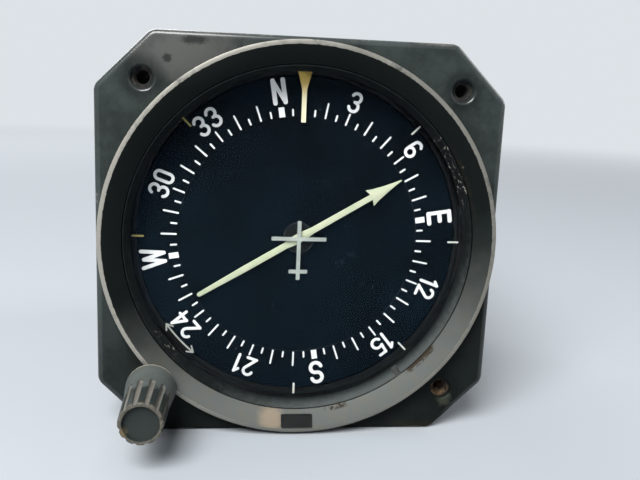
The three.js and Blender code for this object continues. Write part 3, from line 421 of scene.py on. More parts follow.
        # Painted shade in the pocket's wall behind the split ring's gap, weaker at the bottom.
        seam_shade = radius.rise(35.4, 35.3) * at.station.rise(-1.6, -1.4) * (low.rise(-34.0, -12.0) * 0.55 + 0.45)
        return graph.layered(
            colour,
            # A paler grey patch on the flange's upper left.
            (self.warm.mask(at, slow * 7.0 + rough * 3.0) * 0.75, self.upper_left_grey),
            (soot * 0.55, self.grime_and_shade),
            (scuff * 0.7, self.grime_and_shade),
            # Painted shade: the flange and ring darker towards the lower right, away from the light.
            ((facing + slow * 16.0).rise(12.0, -34.0) * 0.80, self.grime_and_shade),
            # Painted shade: the cone darkened at its top and left, which face away from the light.
            (cone * (facing + slow * 7.0).rise(-24.0, -1.0) * 0.94, self.grime_and_shade),
            # The dust and painted light low on the cone.
            (dusty, dust),
            (self.stain.mask(at, rough * 2.0) * cone * 0.7, self.stained),
            (smudge * 0.36, self.smudged),
            # The painted shade in the pocket's wall.
            (seam_shade, self.grime_and_shade),
        )

    def write(self, graph: Graph) -> None:
        """Paint, with dirt, chips, sealant, bare metal and painted light and shade over it."""
        at = graph.at
        rough, slow = graph.unevenness(0.9, 7.0)
        bare, rounded = self.bare(at, rough, slow)
        brown, gum = self.chips(graph, rough, slow)
        hole = at.away(SCREW_SIDE, -SCREW_SIDE).upto(at.away(-SCREW_SIDE, SCREW_SIDE))
        hole = hole.upto(at.away(SCREW_SIDE, SCREW_SIDE))
        low_lip = hole.rise(2.8, 2.6) * (at.up - SCREW_SIDE).rise(0.8, -1.2) * at.up.rise(0.0, 10.0)
        handled = (rounded * at.up.rise(-38.5, -34.0)).least(low_lip) * at.station.rise(3.0, 2.0)
        paint, roughness, height = self.painted(graph)
        soiled_and_shaded = self.soiled_and_shaded(graph, paint, hole, rough, slow)
        # The bare metal varies in tone at random, and is darker towards the right as painted shade.
        tint = graph.mix((slow + at.right * 0.008).rise(-0.25, 0.35), self.metal, scaled(self.metal, 0.62))
        worn = bare.least(brown)
        graph.surface(
            Base_Color=graph.layered(soiled_and_shaded, (brown, self.primer), (gum, self.sealant), (bare, tint)),
            Roughness=roughness * (1 - bare) + bare * 0.48,
            Metallic=bare * 0.35,
            Specular_IOR_Level=self.shine,
            Coat_Weight=handled * (1 - worn) * 0.8,
            Coat_Roughness=0.18,
            Normal=graph.bump(height * (1 - worn) + worn * (rough + 0.1), 0.04, 0.55),
        )


@dataclass(frozen=True)
class Metal(Finish):
    """Bare or plated metal with fine tool marks and a little dirt."""

    colour: Colour
    roughness: float
    dirt: float
    stain: Colour = (0.08, 0.07, 0.055)
    grain: float = 0.12

    def write(self, graph: Graph) -> None:
        """Metal with streaks, dulled by stains."""
        streak = graph.noise(self.grain, 2.0, 0.6, (1.0, 0.12, 1.0))
        cloud = graph.noise(2.2, 4.0, 0.65)
        stains = cloud.rise(0.62 - 0.3 * self.dirt, 0.75 - 0.2 * self.dirt) * self.dirt
        bright = graph.mix(streak, scaled(self.colour, 0.9), self.colour)
        graph.surface(
            Base_Color=graph.mix(stains, bright, self.stain),
            Roughness=self.roughness + stains * 0.5 + streak * 0.12,
            Metallic=1 - stains * 0.7,
            Normal=graph.bump(streak, 0.008, 0.35),
        )


@dataclass(frozen=True)
class Matt(Finish):
    """A plain solid such as rubber, board, lacquer or printing ink, with a faint grain."""

    colour: Colour
    roughness: float
    grain: float = 0.4
    relief: float = 0.01
    uneven: float = 0.12
    shine: float = 0.4
    brightest: float = 0.92

    def write(self, graph: Graph) -> None:
        """One colour, clouded a little."""
        cloud = graph.noise(3.0, 4.0, 0.6)
        fine = graph.noise(self.grain, 2.0, 0.6)
        lighter = tuple(min(part, self.brightest) for part in scaled(self.colour, 1 + self.uneven))
        graph.surface(
            Base_Color=graph.mix(cloud.rise(0.3, 0.7), scaled(self.colour, 1 - 2 * self.uneven), lighter),
            Roughness=self.roughness + (fine - 0.5) * 0.2,
            Specular_IOR_Level=self.shine,
            Normal=graph.bump(fine, self.relief, 0.4),
        )


@dataclass(frozen=True)
class SnapRingBlack(Finish):
    """Black metal with crumbs of old sealant on its right and at its lower left."""

    colour: Colour = (0.0065, 0.0080, 0.0080)
    sealant: Colour = (0.30, 0.29, 0.25)
    dust: Colour = (0.13, 0.145, 0.138)
    near_right: Spot = Spot(30.0, 16.0, 10.0, 4.5)
    near_left: Spot = Spot(-27.0, -21.5, 4.0, 1.5)

    def write(self, graph: Graph) -> None:
        """Black, with crumbs where the dial's edge was once sealed, and dusty low on the right."""
        at = graph.at
        cloud = graph.noise(1.4, 4.0, 0.7)
        near = self.near_right.mask(at).least(self.near_left.mask(at))
        crumbs = graph.noise(0.85, 3.0, 0.6).rise(0.585, 0.625) * near * cloud.rise(0.42, 0.52)
        dusty = (at.right * 0.5 - at.up * 0.87 + (cloud - 0.5) * 16.0).rise(15.0, 36.0)
        colour = graph.layered(
            self.colour,
            (cloud.rise(0.4, 0.7), scaled(self.colour, 1.7)),
            (dusty * at.away().rise(33.9, 34.8) * 0.45, self.dust),
            (crumbs * 0.8, self.sealant),
        )
        graph.surface(
            Base_Color=colour,
            Roughness=0.5 + crumbs * 0.3,
            Specular_IOR_Level=0.05,
            Normal=graph.bump(crumbs + cloud * 0.1, 0.05, 0.6),
        )


@dataclass(frozen=True)
class FadingInk(Finish):
    """Ink that changes colour along one direction of the dial."""

    first: Colour
    second: Colour
    start: float
    end: float
    upward: bool = False

    def write(self, graph: Graph) -> None:
        """The first colour before the start, the second after the end."""
        along = graph.at.up if self.upward else graph.at.right
        fine = graph.noise(0.5, 3.0, 0.6)
        share = (along + (fine - 0.5) * 1.2).rise(self.start, self.end)
        worn = (fine.rise(0.62, 0.75) * 0.35, scaled(self.first, 0.45))
        colour = graph.layered(self.first, (share, self.second), worn)
        graph.surface(Base_Color=colour, Roughness=0.45 + fine * 0.2, Normal=graph.bump(fine, 0.006, 0.3))


@dataclass(frozen=True)
class DialBlack(Finish):
    """The card's matt black, a little rubbed, with a fine pale line at the step in the middle."""

    darker: Colour = (0.0014, 0.0026, 0.0034)
    lighter: Colour = (0.0022, 0.0046, 0.0074)
    dust: Colour = (0.25, 0.28, 0.31)

    def write(self, graph: Graph) -> None:
        """Near black with dust, and the line by its distance from the axis."""
        cloud = graph.noise(11.0, 3.0)
        specks = graph.specks(4.2, 0.05)
        line = graph.at.away().inside(STEP_RADIUS - 0.05, STEP_RADIUS + 0.03, 0.04) * cloud.rise(0.4, 0.62)
        pale = (specks * 0.3).least(line * 0.05)
        colour = graph.layered(self.darker, (cloud.rise(0.3, 0.7), self.lighter), (pale, self.dust))
        relief = graph.bump(graph.noise(0.6), 0.003, 0.2)
        graph.surface(Base_Color=colour, Roughness=0.5 + cloud * 0.2, Specular_IOR_Level=0.025, Normal=relief)


@dataclass(frozen=True)
class PointerPaint(Finish):
    """The pointer's pale yellow-green paint."""

    colour: Colour = (0.52, 0.545, 0.385)
    thin: Colour = (0.45, 0.50, 0.33)

    def write(self, graph: Graph) -> None:
        """Pale paint that is greener and darker where it is thin."""
        colour = graph.mix(graph.noise(2.5, 4.0, 0.6).rise(0.35, 0.7), self.colour, self.thin)
        relief = graph.bump(graph.noise(0.3, 2.0), 0.012, 0.4)
        graph.surface(Base_Color=colour, Roughness=0.5, Normal=relief)


@dataclass(frozen=True)
class HubBlack(Finish):
    """The dark hub disc, with a pale line round it as a painted highlight of its edge, in front of its steel shaft."""

    line: float = 3.12
    disc_back: float = 5.4
    colour: Colour = (0.0065, 0.0075, 0.0080)
    steel: Colour = (0.42, 0.43, 0.44)

    def write(self, graph: Graph) -> None:
        """Black lacquer, with a steel-grey painted highlight in the line, and steel behind the disc."""
        cloud = graph.noise(1.5, 3.0)
        # A painted highlight: a steel-grey line near the disc's edge, not metallic.
        line = graph.at.away().inside(self.line - 0.04, self.line + 0.04, 0.05) * (cloud - 0.35) * 0.35
        steel = graph.at.station.rise(self.disc_back, self.disc_back + 0.2)
        graph.surface(
            Base_Color=graph.mix(line.least(steel), self.colour, self.steel),
            Roughness=0.45 + cloud * 0.1,
            Metallic=steel * 0.9,
            Specular_IOR_Level=0.08,
            Normal=graph.bump(cloud, 0.01, 0.3),
        )


@dataclass(frozen=True)
class WindowGlass(Finish):
    """Thin clear glass: what it mirrors, tinted blue and stronger low down as a painted reflection, with dust specks
    and hair scratches.
    """

    straight: float = 0.0105
    # A blue tint on the mirror: a painted reflection.
    painted_reflection_tint: Colour = (0.13, 0.27, 0.42)
    dirt: Colour = (0.50, 0.48, 0.44)

    def write(self, graph: Graph) -> None:
        """A clear film whose mirror grows towards a grazing view and towards the bottom, tinted blue: a painted
        reflection.
        """
        at, radius = graph.at, graph.at.away()
        aslant = graph.node("LayerWeight", {}, {"Blend": 0.5}, "Facing")
        # Painted reflection: the mirror is stronger towards the bottom of the glass and weaker at the top.
        straight = (at.up.rise(26.0, -22.0) * 0.75 + 0.45) * self.straight
        mirror = (straight + aslant**5 * (1 - self.straight)) * radius.rise(34.75, 34.6)
        dust = graph.specks(3.4, 0.045) * graph.noise(9.0, 2.0).rise(0.45, 0.6)
        fluff = graph.noise(0.35, 1.0, 0.5, (1.0, 1.0, 0.12)).rise(0.80, 0.84)
        hair = graph.noise(1.4, 2.0, 0.5, (0.07, 1.0, 1.0))
        scratch = abs(hair - 0.5).rise(0.004, 0.0005) * graph.noise(5.0, 2.0).rise(0.55, 0.66)
        rim = radius.rise(34.0, 34.9) * graph.noise(1.2, 4.0).rise(0.48, 0.66)
        soil = (dust * 0.75).least(scratch * 0.14).least(rim * 0.18).least(fluff * 0.3) * at.station.rise(1.9, 1.6)
        # The mirror's colour carries the painted blue reflection.
        graph.surface(
            Base_Color=graph.mix(soil, self.painted_reflection_tint, self.dirt),
            Metallic=1 - soil.rise(0.0, 0.2),
            Roughness=0.04 + soil * 0.8,
            Alpha=mirror.least(soil),
        )


@dataclass(frozen=True)
class KnobPlastic(Finish):
    """The knob's grey-green finish, worn to dark plastic on the flutes' crests, dusty in the flutes, rubbed pale round
    the front and chipped to brown there.
    """

    back: float
    front: float
    front_radius: float
    taper: float = 0.0333
    coat: Colour = (0.095, 0.107, 0.100)
    plastic: Colour = (0.016, 0.021, 0.0195)
    dusty: Colour = (0.165, 0.150, 0.128)
    rubbed: Colour = (0.125, 0.112, 0.090)
    chipped: Colour = (0.120, 0.095, 0.055)
    chip: Spot = Spot(KNOB_AXIS[0] - 3.6, KNOB_AXIS[1] - 1.8, 1.2, 0.7)

    def write(self, graph: Graph) -> None:
        """Grey, with wear by the distance from the knob's axis and from its front, and a pale line along the top of the
        back edge that is rubbed and partly a painted highlight.
        """
        station, radius = graph.at.station, graph.at.away(*KNOB_AXIS)
        rough, slow = graph.unevenness(0.7, 4.0)
        ahead = station - self.front
        crest = self.front_radius + ahead * self.taper
        groove = (radius - crest + rough * 0.12).rise(-0.12, -0.28) * station.rise(self.back - 5.0, self.back - 7.0)
        groove = groove * ahead.rise(0.1, 0.4) * radius.rise(3.36, 3.44)
        bare = (station + slow * 5.0 + rough * 1.5).rise(self.back - 8.6, self.back - 10.2) * (1 - groove)
        rim = (radius + rough * 0.25).inside(3.5, 4.5, 0.12) * (ahead + rough * 0.25).rise(0.6, 0.15)
        # A pale line along the top of the back edge: rubbed, and lighter there as a painted highlight.
        edge = (radius + rough * 0.2).rise(4.7, 4.85) * (station + rough * 0.8).rise(self.back - 0.75, self.back - 0.4)
        edge = edge * (graph.at.up - KNOB_AXIS[1] + rough * 2.0 + slow * 4.0).rise(0.5, 3.5)
        chip = self.chip.mask(graph.at, rough * 2.0) * ahead.rise(1.3, 0.9)
        colour = graph.layered(
            scaled(self.coat, 0.85),
            (slow.rise(-0.2, 0.25), self.coat),
            (bare * 0.92, self.plastic),
            (groove * (0.75 + slow), self.dusty),
            (rim * (0.62 + rough * 1.6), self.rubbed),
            # The back edge: rubbed, with a painted highlight along its top.
            (edge * (1.0 + rough), scaled(self.rubbed, 2.6)),
            (chip, self.chipped),
        )
        graph.surface(
            Base_Color=colour,
            Roughness=0.48 + rough * 0.2,
            Specular_IOR_Level=0.14,
            Normal=graph.bump(rough + 0.5 - chip * 0.8, 0.03, 0.4),
        )


@dataclass(frozen=True)
class LampGlass(Finish):
    """A small lamp's warm clear glass over its filament."""

    darker: Colour = (0.72, 0.66, 0.5)
    lighter: Colour = (0.86, 0.82, 0.7)

    def write(self, graph: Graph) -> None:
        """Cloudy warm glass."""
        cloud = graph.noise(0.8, 2.0)
        colour = graph.mix(cloud, self.darker, self.lighter)
        graph.surface(Base_Color=colour, Roughness=0.12 + cloud * 0.1, Coat_Weight=0.6)


class Finishes:
    """The finishes by the part's material slots, and those of single pieces."""

    BLACK_METAL = Matt("black_metal", (0.011, 0.012, 0.012), 0.55, 0.3, 0.015, shine=0.08)
    STEEL = Metal("steel", (0.46, 0.46, 0.45), 0.34, 0.3)

    BY_SLOT = {
        "bezel_paint": CastingPaint("casting_paint"),
        "window_glass": WindowGlass("window_glass"),
        "gasket_rubber": Matt("gasket_rubber", (0.010, 0.011, 0.011), 0.85, shine=0.06),
        "black_metal": BLACK_METAL,
        "card_black": DialBlack("dial_black"),
        "pointer_cream": PointerPaint("pointer_paint"),
        "brass": Metal("brass", (0.62, 0.46, 0.2), 0.32, 0.6),
        "steel": STEEL,
        "aluminium": Metal("aluminium", (0.66, 0.67, 0.68), 0.4, 0.2),
        "case_paint": Paint("case_paint", (0.028, 0.031, 0.032), 0.45, 0.12),
        "lamp_glass": LampGlass("lamp_glass"),
        "copper": Metal("copper", (0.62, 0.32, 0.17), 0.4, 0.3),
        "board_green": Matt("board_green", (0.03, 0.10, 0.045), 0.45),
        "insulator_black": Matt("insulator_black", (0.014, 0.014, 0.015), 0.5),
        "connector_plating": Metal("connector_plating", (0.55, 0.52, 0.38), 0.34, 0.3),
        "cable_grey": Matt("cable_grey", (0.16, 0.165, 0.17), 0.6),
    }

    SNAP_RING = SnapRingBlack("snap_ring_black")
    INSERT = Metal("insert_brass", (0.18, 0.115, 0.062), 0.38, 1.0, (0.012, 0.011, 0.010))
    DARK_INSERT = Metal("insert_dark", (0.062, 0.056, 0.048), 0.38, 1.0, (0.008, 0.008, 0.008))
    HUB = HubBlack("hub_black")
    GOLD = Metal("contact_gold", (0.80, 0.58, 0.22), 0.25, 0.1)
    WHITE_INK = Matt("white_ink", (0.84, 0.85, 0.84), 0.55, uneven=0.05)
    GREY_INK = Matt("grey_ink", (0.35, 0.385, 0.35), 0.5, uneven=0.08)
    DIM_INK = Matt("dim_ink", (0.36, 0.37, 0.34), 0.5)
    LUBBER_INK = FadingInk("lubber_ink", (0.70, 0.66, 0.46), (0.62, 0.42, 0.08), 27.5, 33.0, True)
    INDEX_INK = FadingInk("index_ink", (0.34, 0.28, 0.08), (0.60, 0.62, 0.56), -18.0, -4.0)


class Kind(Enum):
    """What edit mode selects."""

    VERT = "verts"
    EDGE = "edges"


class Bench:
    """Edit-mode modelling. Sizes are millimetres round the dial's axis, and a station is a distance behind the
    flange's front face. A piece moves to its place in the part's frame when it is finished."""

    def only(self, piece: Piece) -> None:
        """Selects this piece alone and makes it the active one."""
        bpy.ops.object.select_all(action="DESELECT")
        piece.select_set(True)
        bpy.context.view_layer.objects.active = piece

    def settle(self, piece: Piece) -> None:
        """Applies the place and the turn of a piece to its mesh."""
        self.only(piece)
        bpy.ops.object.transform_apply(location=True, rotation=True, scale=True)

    @contextmanager
    def editing(self, piece: Piece) -> Iterator[None]:
        """Opens edit mode with the whole piece selected, and leaves it again."""
        self.only(piece)
        bpy.ops.object.mode_set(mode="EDIT")
        bpy.ops.mesh.select_all(action="SELECT")
        yield
        bpy.ops.object.mode_set(mode="OBJECT")

    def choose(self, piece: Piece, kind: Kind, test: Callable[[bmesh.types.BMVert | bmesh.types.BMEdge], bool]) -> None:
        """Selects what passes a test, in edit mode.

        Args:
            piece: The piece in edit mode.
            kind: What to select.
            test: Takes a vertex or edge, and says whether to select it.
        """
        bpy.ops.mesh.select_mode(type=kind.name)
        bpy.ops.mesh.select_all(action="DESELECT")
        shape = bmesh.from_edit_mesh(piece.data)
        for part in getattr(shape, kind.value):
            if test(part):
                part.select_set(True)
        bmesh.update_edit_mesh(piece.data)

    def apply(self, piece: Piece, kind: str, settings: dict) -> None:
        """Adds a modifier to a piece and applies it.

        Args:
            piece: The piece.
            kind: The modifier's type.
            settings: Its properties.
        """
        modifier = piece.modifiers.new(kind.lower(), kind)
        for key, setting in settings.items():
            setattr(modifier, key, setting)
        self.only(piece)
        bpy.ops.object.modifier_apply(modifier=modifier.name)

    def named(self, name: str) -> Piece:
        """Names the piece that was just added, and applies its place."""
        piece = bpy.context.active_object
        piece.name = piece.data.name = name
        self.settle(piece)
        return piece

    def circle(self, name: str, start: Pair, facets: int, filled: bool, centre: Pair) -> Piece:
        """Adds a circle that faces the front.

        Args:
            name: The piece's name.
            start: Its radius and its station.
            facets: Its number of sides.
            filled: Whether it has a face.
            centre: Its place on the dial's plane.

        Returns:
            The piece.
        """
        bpy.ops.mesh.primitive_circle_add(
            vertices=facets,
            radius=start[0] * MM,
            fill_type="NGON" if filled else "NOTHING",
            location=(centre[0] * MM, start[1] * MM, centre[1] * MM),
            rotation=FACING,
        )
        return self.named(name)

    def extrude(self, depth: float) -> None:
        """Extrudes what is selected towards the back."""
        bpy.ops.mesh.extrude_region_move(TRANSFORM_OT_translate={"value": (0, depth * MM, 0)})

    def round_corners(self, reach: float, steps: int = 6) -> None:
        """Rounds the corners of the outline in edit mode, and selects all of it again."""
        bpy.ops.mesh.bevel(offset=reach * MM, segments=steps, affect="VERTICES")
        bpy.ops.mesh.select_all(action="SELECT")

    def close(self) -> None:
        """Merges doubles and turns the faces of the piece in edit mode outwards."""
        bpy.ops.mesh.select_all(action="SELECT")
        bpy.ops.mesh.remove_doubles(threshold=1e-7)
        bpy.ops.mesh.normals_make_consistent(inside=False)

    def turned(
        self, name: str, profile: list[Pair], facets: int, centre: Pair = (0.0, 0.0), filled: bool = True
    ) -> Piece:
        """A solid turned about an axis along the dial's.

        Args:
            name: The piece's name.
            profile: Radius and station pairs from one end to the other.
            facets: Number of sides.
            centre: The axis' place on the dial's plane.
            filled: Whether it has flat ends.

        Returns:
            The piece.
        """
        piece = self.circle(name, profile[0], facets, filled, centre)
        with self.editing(piece):
            for (radius, station), (next_radius, next_station) in zip(profile, profile[1:]):
                self.extrude(next_station - station)
                if next_radius != radius:
                    share = next_radius / radius
                    middle = (centre[0] * MM, next_station * MM, centre[1] * MM)
                    bpy.ops.transform.resize(value=(share, 1, share), center_override=middle)
            self.close()
        return piece

    def ring(self, name: str, section: list[Pair], facets: int, centre: Pair = (0.0, 0.0)) -> Piece:
        """A ring turned about an axis along the dial's, whose section closes on itself."""
        return self.turned(name, [*section, section[0]], facets, centre, False)

    def sheet(self, name: str, corners: list[Pair], front: float, back: float, rounding: float = 0.0) -> Piece:
        """A flat plate with a drawn outline.

        Args:
            name: The piece's name.
            corners: The outline, anticlockwise as seen from the front.
            front: Its front's station.
            back: Its back's station.
            rounding: How far the corners' rounding reaches along the edges.

        Returns:
            The piece.
        """
        piece = self.circle(name, (1.0, front), len(corners), True, (0.0, 0.0))
        with self.editing(piece):
            for index, (right, up) in enumerate(corners):
                self.choose(piece, Kind.VERT, lambda vert: vert.index == index)
                place = piece.data.vertices[index].co
                bpy.ops.transform.translate(value=(right * MM - place.x, 0, up * MM - place.z))
            bpy.ops.mesh.select_all(action="SELECT")
            if rounding:
                self.round_corners(rounding)
            self.extrude(back - front)
            self.close()
        return piece

    def block(self, name: str, size: Pair, front: float, back: float, centre: Pair = (0.0, 0.0)) -> Piece:
        """A rectangular block, whose centre is a place on the dial's plane."""
        return self.sheet(name, rectangle(*size, centre), front, back)

    def clipped(
        self, name: str, half: float, cut: float, radius: float, front: float, back: float, wall: float = 0.0
    ) -> Piece:
        """A square plate or tube with cut and rounded corners.

        Args:
            name: The piece's name.
            half: Half its width.
            cut: How far each corner is cut along the sides.
            radius: The rounding where a cut meets a side.
            front: Its front's station.
            back: Its back's station.
            wall: The tube's wall, or nothing for a plate.

        Returns:
            The piece.
        """
        bpy.ops.mesh.primitive_plane_add(size=2 * half * MM, location=(0, front * MM, 0), rotation=FACING)
        piece = self.named(name)
        with self.editing(piece):
            self.round_corners(cut, 1)
            self.round_corners(radius * math.tan(math.pi / 8))
            if wall:
                bpy.ops.mesh.inset(thickness=wall * MM)
                bpy.ops.mesh.delete(type="FACE")
                bpy.ops.mesh.select_all(action="SELECT")
            self.extrude(back - front)
            self.close()
        return piece

    def round_edges(self, piece: Piece, station: float, size: float, steps: int) -> None:
        """Rounds the edges that lie in the plane at a station.

        Args:
            piece: The piece.
            station: The plane's station.
            size: How far the rounding reaches.
            steps: Its number of steps.
        """
        with self.editing(piece):
            self.choose(piece, Kind.EDGE, lambda edge: all(abs(vert.co.y - station * MM) < 1e-6 for vert in edge.verts))
            bpy.ops.mesh.bevel(offset=size * MM, segments=steps, affect="EDGES")
            bpy.ops.mesh.select_mode(type="VERT")

    def soften(self, piece: Piece, size: float, degrees: float) -> None:
        """Takes the sharpness off every edge steeper than an angle."""
        limit = {"limit_method": "ANGLE", "angle_limit": math.radians(degrees)}
        self.apply(piece, "BEVEL", {"width": size * MM, "segments": 2, **limit})

    def cut(self, piece: Piece, cutters: list[Piece]) -> None:
        """Cuts away solids that do not touch each other, and uses them up."""
        tool = self.join("tool", cutters)
        self.apply(piece, "BOOLEAN", {"operation": "DIFFERENCE", "object": tool, "solver": "EXACT"})
        bpy.data.objects.remove(tool)

    def join(self, name: str, pieces: list[Piece]) -> Piece:
        """Makes one piece of several.

        Args:
            name: Its name.
            pieces: The pieces, which are used up.

        Returns:
            The piece.
        """
        self.only(pieces[0])
        for piece in pieces:
            piece.select_set(True)
        if len(pieces) > 1:
            bpy.ops.object.join()
        pieces[0].name = pieces[0].data.name = name
        return pieces[0]

    def copy(self, piece: Piece, name: str, shift: Pair = (0.0, 0.0)) -> Piece:
        """Copies a piece, with its own mesh, to another place on the dial's plane.

        Args:
            piece: The piece, which stays as it is.
            name: The copy's name.
            shift: How far the copy moves.

        Returns:
            The copy.
        """
        self.only(piece)
        bpy.ops.object.duplicate(linked=False)
        bpy.context.active_object.location = (shift[0] * MM, 0, shift[1] * MM)
        return self.named(name)

    def repeat(self, piece: Piece, copies: int, degrees: float) -> None:
        """Repeats a piece round the dial's axis.

        Args:
            piece: The piece, which keeps its own place too.
            copies: How many more there are.
            degrees: The angle between them.
        """
        angle = math.radians(degrees * copies)
        with self.editing(piece):
            bpy.ops.mesh.spin(steps=copies, dupli=True, angle=angle, center=(0, 0, 0), axis=(0, 1, 0))

    def finish(
        self,
        piece: Piece,
        slot: str,
        *replaces: str,
        look: Finish | None = None,
        body: Body = Body.INSTRUMENT,
        turn: float = 0.0,
        smooth: float = 32.0,
    ) -> None:
        """Places a piece in the part's frame, dresses it and says what it moves with.

        Args:
            piece: The piece.
            slot: The part's material slot.
            replaces: The part's nodes that it stands for.
            look: Its finish, or nothing for the slot's own.
            body: What it moves with.
            turn: Degrees clockwise about the dial's axis, as seen from the front.
            smooth: Edges flatter than this are shaded smooth.
        """
        piece.rotation_euler = Euler((0, math.radians(turn), 0))
        piece.location = DIAL
        self.settle(piece)
        bpy.ops.object.shade_smooth_by_angle(angle=math.radians(smooth))
        (look or Finishes.BY_SLOT[slot]).dress(piece)
        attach(piece, body.value)
        if replaces:
            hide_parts(*replaces)
        log.info("%s: %d faces, rides on %s", piece.name, len(piece.data.polygons), body.value)


BENCH = Bench()


def rectangle(width: float, height: float, centre: Pair = (0.0, 0.0)) -> list[Pair]:
    """The corners of an upright rectangle, anticlockwise from the top right."""
    sides = ((1, 1), (-1, 1), (-1, -1), (1, -1))
    return [(centre[0] + x * width / 2, centre[1] + z * height / 2) for x, z in sides]


def mirrored(side: list[Pair]) -> list[Pair]:
    """The points of one side, and their mirror images on the way back."""
    return [*side, *((-x, z) for x, z in reversed(side))]


def four_places(right: float, up: float) -> dict[str, Pair]:
    """The four places that lie this far to the sides of the dial's axis, above it and below it, by name."""
    rows, columns = {"top": up, "bottom": -up}, {"left": -right, "right": right}
    return {f"{row}_{column}": (columns[column], rows[row]) for row in rows for column in columns}


def polar(x: float, y: float, radius: float, degrees: float) -> Pair:
    """The point at a radius and an angle from a centre, anticlockwise from the right."""
    return x + radius * math.cos(math.radians(degrees)), y + radius * math.sin(math.radians(degrees))


def arc(x: float, y: float, radius: float, start: float, end: float, fewest: int = 4) -> list[Pair]:
    """Points on an arc about a centre, from one angle in degrees to another, with at least so many steps."""
    steps = max(fewest, round(abs(end - start) / 15))
    return [polar(x, y, radius, start + (end - start) * step / steps) for step in range(steps + 1)]


class Pen:
    """Draws strokes with round ends, which become one flat printed piece."""

    TUBE = 0.5
    FLATNESS = 0.06
    CAP_STEPS = (0.985, 0.9, 0.72, 0.42)

    def __init__(self) -> None:
        """Starts with nothing drawn."""
        self.strokes: list[tuple[list[Pair], float]] = []

    def stroke(self, points: list[Pair], width: float, turn: float = 0.0) -> None:
        """Draws a stroke.

        Args:
            points: Its centre line in millimetres, with its round ends outside.
            width: Its width.
            turn: Degrees clockwise about the dial's axis.
        """
        angle = math.radians(turn)
        cos, sin = math.cos(angle), math.sin(angle)
        self.strokes.append(([(x * cos + z * sin, z * cos - x * sin) for x, z in points], width))

    def tick(self, inner: float, outer: float, width: float, turn: float) -> None:
        """Draws a radial stroke whose ends lie at two radii."""
        self.stroke([(0.0, inner + width / 2), (0.0, outer - width / 2)], width, turn)

    def write(self, text: str, stroke: float, inner: float, outer: float, turn: float, gap: float = 0.5) -> None:
        """Writes upright from the dial's axis outwards.

        Args:
            text: The signs.
            stroke: The strokes' width.
            inner: The radius under their feet.
            outer: The radius at their tops.
            turn: Degrees clockwise about the dial's axis.
            gap: The space between signs.
        """
        scale, step = outer - inner - stroke, gap + stroke
        start = -(sum(SIGNS[sign][0] * scale for sign in text) + (len(text) - 1) * step) / 2
        for width, lines in (SIGNS[sign] for sign in text):
            for line in lines:
                points = [(start + x * scale, inner + stroke / 2 + y * scale) for x, y in line]
                self.stroke(points, stroke, turn)
            start += width * scale + step

    def lifted(self, name: str, station: float) -> Piece:
        """Turns the drawing into a flat closed piece: round tubes along the strokes, pressed flat.

        Args:
            name: The piece's name.
            station: The middle of its thickness.

        Returns:
            The piece.
        """
        curve = bpy.data.curves.new(name, "CURVE")
        curve.dimensions = "3D"
        curve.bevel_depth = self.TUBE * MM
        curve.bevel_resolution = 1
        curve.use_fill_caps = True
        for points, width in self.strokes:
            drawn = [*self.cap(points, width), *((point, 1.0) for point in points)]
            drawn += reversed(self.cap(points[::-1], width))
            spline = curve.splines.new("POLY")
            spline.points.add(len(drawn) - 1)
            for knot, ((right, up), share) in zip(spline.points, drawn):
                knot.co = (right * MM, 0, up * MM, 1)
                knot.radius = share * width
        piece = bpy.data.objects.new(name, curve)
        bpy.context.scene.collection.objects.link(piece)
        BENCH.only(piece)
        bpy.ops.object.convert(target="MESH")
        piece = bpy.context.active_object
        with BENCH.editing(piece):
            bpy.ops.transform.resize(value=(1, self.FLATNESS, 1), center_override=(0, 0, 0))
            bpy.ops.transform.translate(value=(0, station * MM, 0))
            bpy.ops.mesh.normals_make_consistent(inside=False)
        piece.name = piece.data.name = name
        return piece

    def cap(self, points: list[Pair], width: float) -> list[tuple[Pair, float]]:
        """The round end before a line's first point.

        Args:
            points: The line.
            width: Its width.

        Returns:
            Points from the tip inwards, each with its share of the full width.
        """
        end = Vector(points[0])
        away = (end - Vector(points[1])).normalized() * (width / 2)
        return [(tuple(end + away * step), math.sqrt(1 - step * step)) for step in self.CAP_STEPS]


SIGNS: dict[str, tuple[float, list[list[Pair]]]] = {
    "N": (0.46, [[(0, 0), (0, 1)], [(0, 1), (0.46, 0)], [(0.46, 0), (0.46, 1)]]),
    "E": (0.46, [[(0.46, 1), (0, 1)], [(0, 1), (0, 0)], [(0, 0), (0.46, 0)], [(0, 0.52), (0.40, 0.52)]]),
    "W": (0.80, [[(0, 1), (0.20, 0)], [(0.20, 0), (0.40, 0.92)], [(0.40, 0.92), (0.60, 0)], [(0.60, 0), (0.80, 1)]]),
    "S": (0.50, [arc(0.25, 0.74, 0.25, 15, 250) + arc(0.25, 0.255, 0.255, 70, -165)]),
    "0": (0.46, [arc(0.23, 0.77, 0.23, 0, 180) + arc(0.23, 0.23, 0.23, 180, 360) + [(0.46, 0.77)]]),
    "1": (0.22, [[(0.20, 0), (0.20, 1)], [(0.20, 1), (0.02, 0.82)]]),
    "2": (0.50, [arc(0.25, 0.74, 0.25, 165, -20) + [(0.44, 0.58), (0.0, 0.0)], [(0, 0), (0.50, 0)]]),
    "3": (0.50, [arc(0.25, 0.75, 0.245, 160, -90), arc(0.25, 0.255, 0.255, 90, -160)]),
    "4": (0.54, [[(0.40, 0), (0.40, 1)], [(0.40, 1), (0, 0.30)], [(0, 0.30), (0.54, 0.30)]]),
    "5": (0.50, [[(0.46, 1), (0.08, 1)], [(0.08, 1), (0.03, 0.52)], [(0.03, 0.52), *arc(0.23, 0.29, 0.28, 112, -150)]]),
    "6": (0.50, [arc(0.27, 0.74, 0.25, 35, 150) + [(0.02, 0.60), (0.0, 0.28)] + arc(0.25, 0.27, 0.25, 180, 540)]),
}
"""Condensed letters and figures, in a box one unit high: the width and the centre lines of the strokes."""


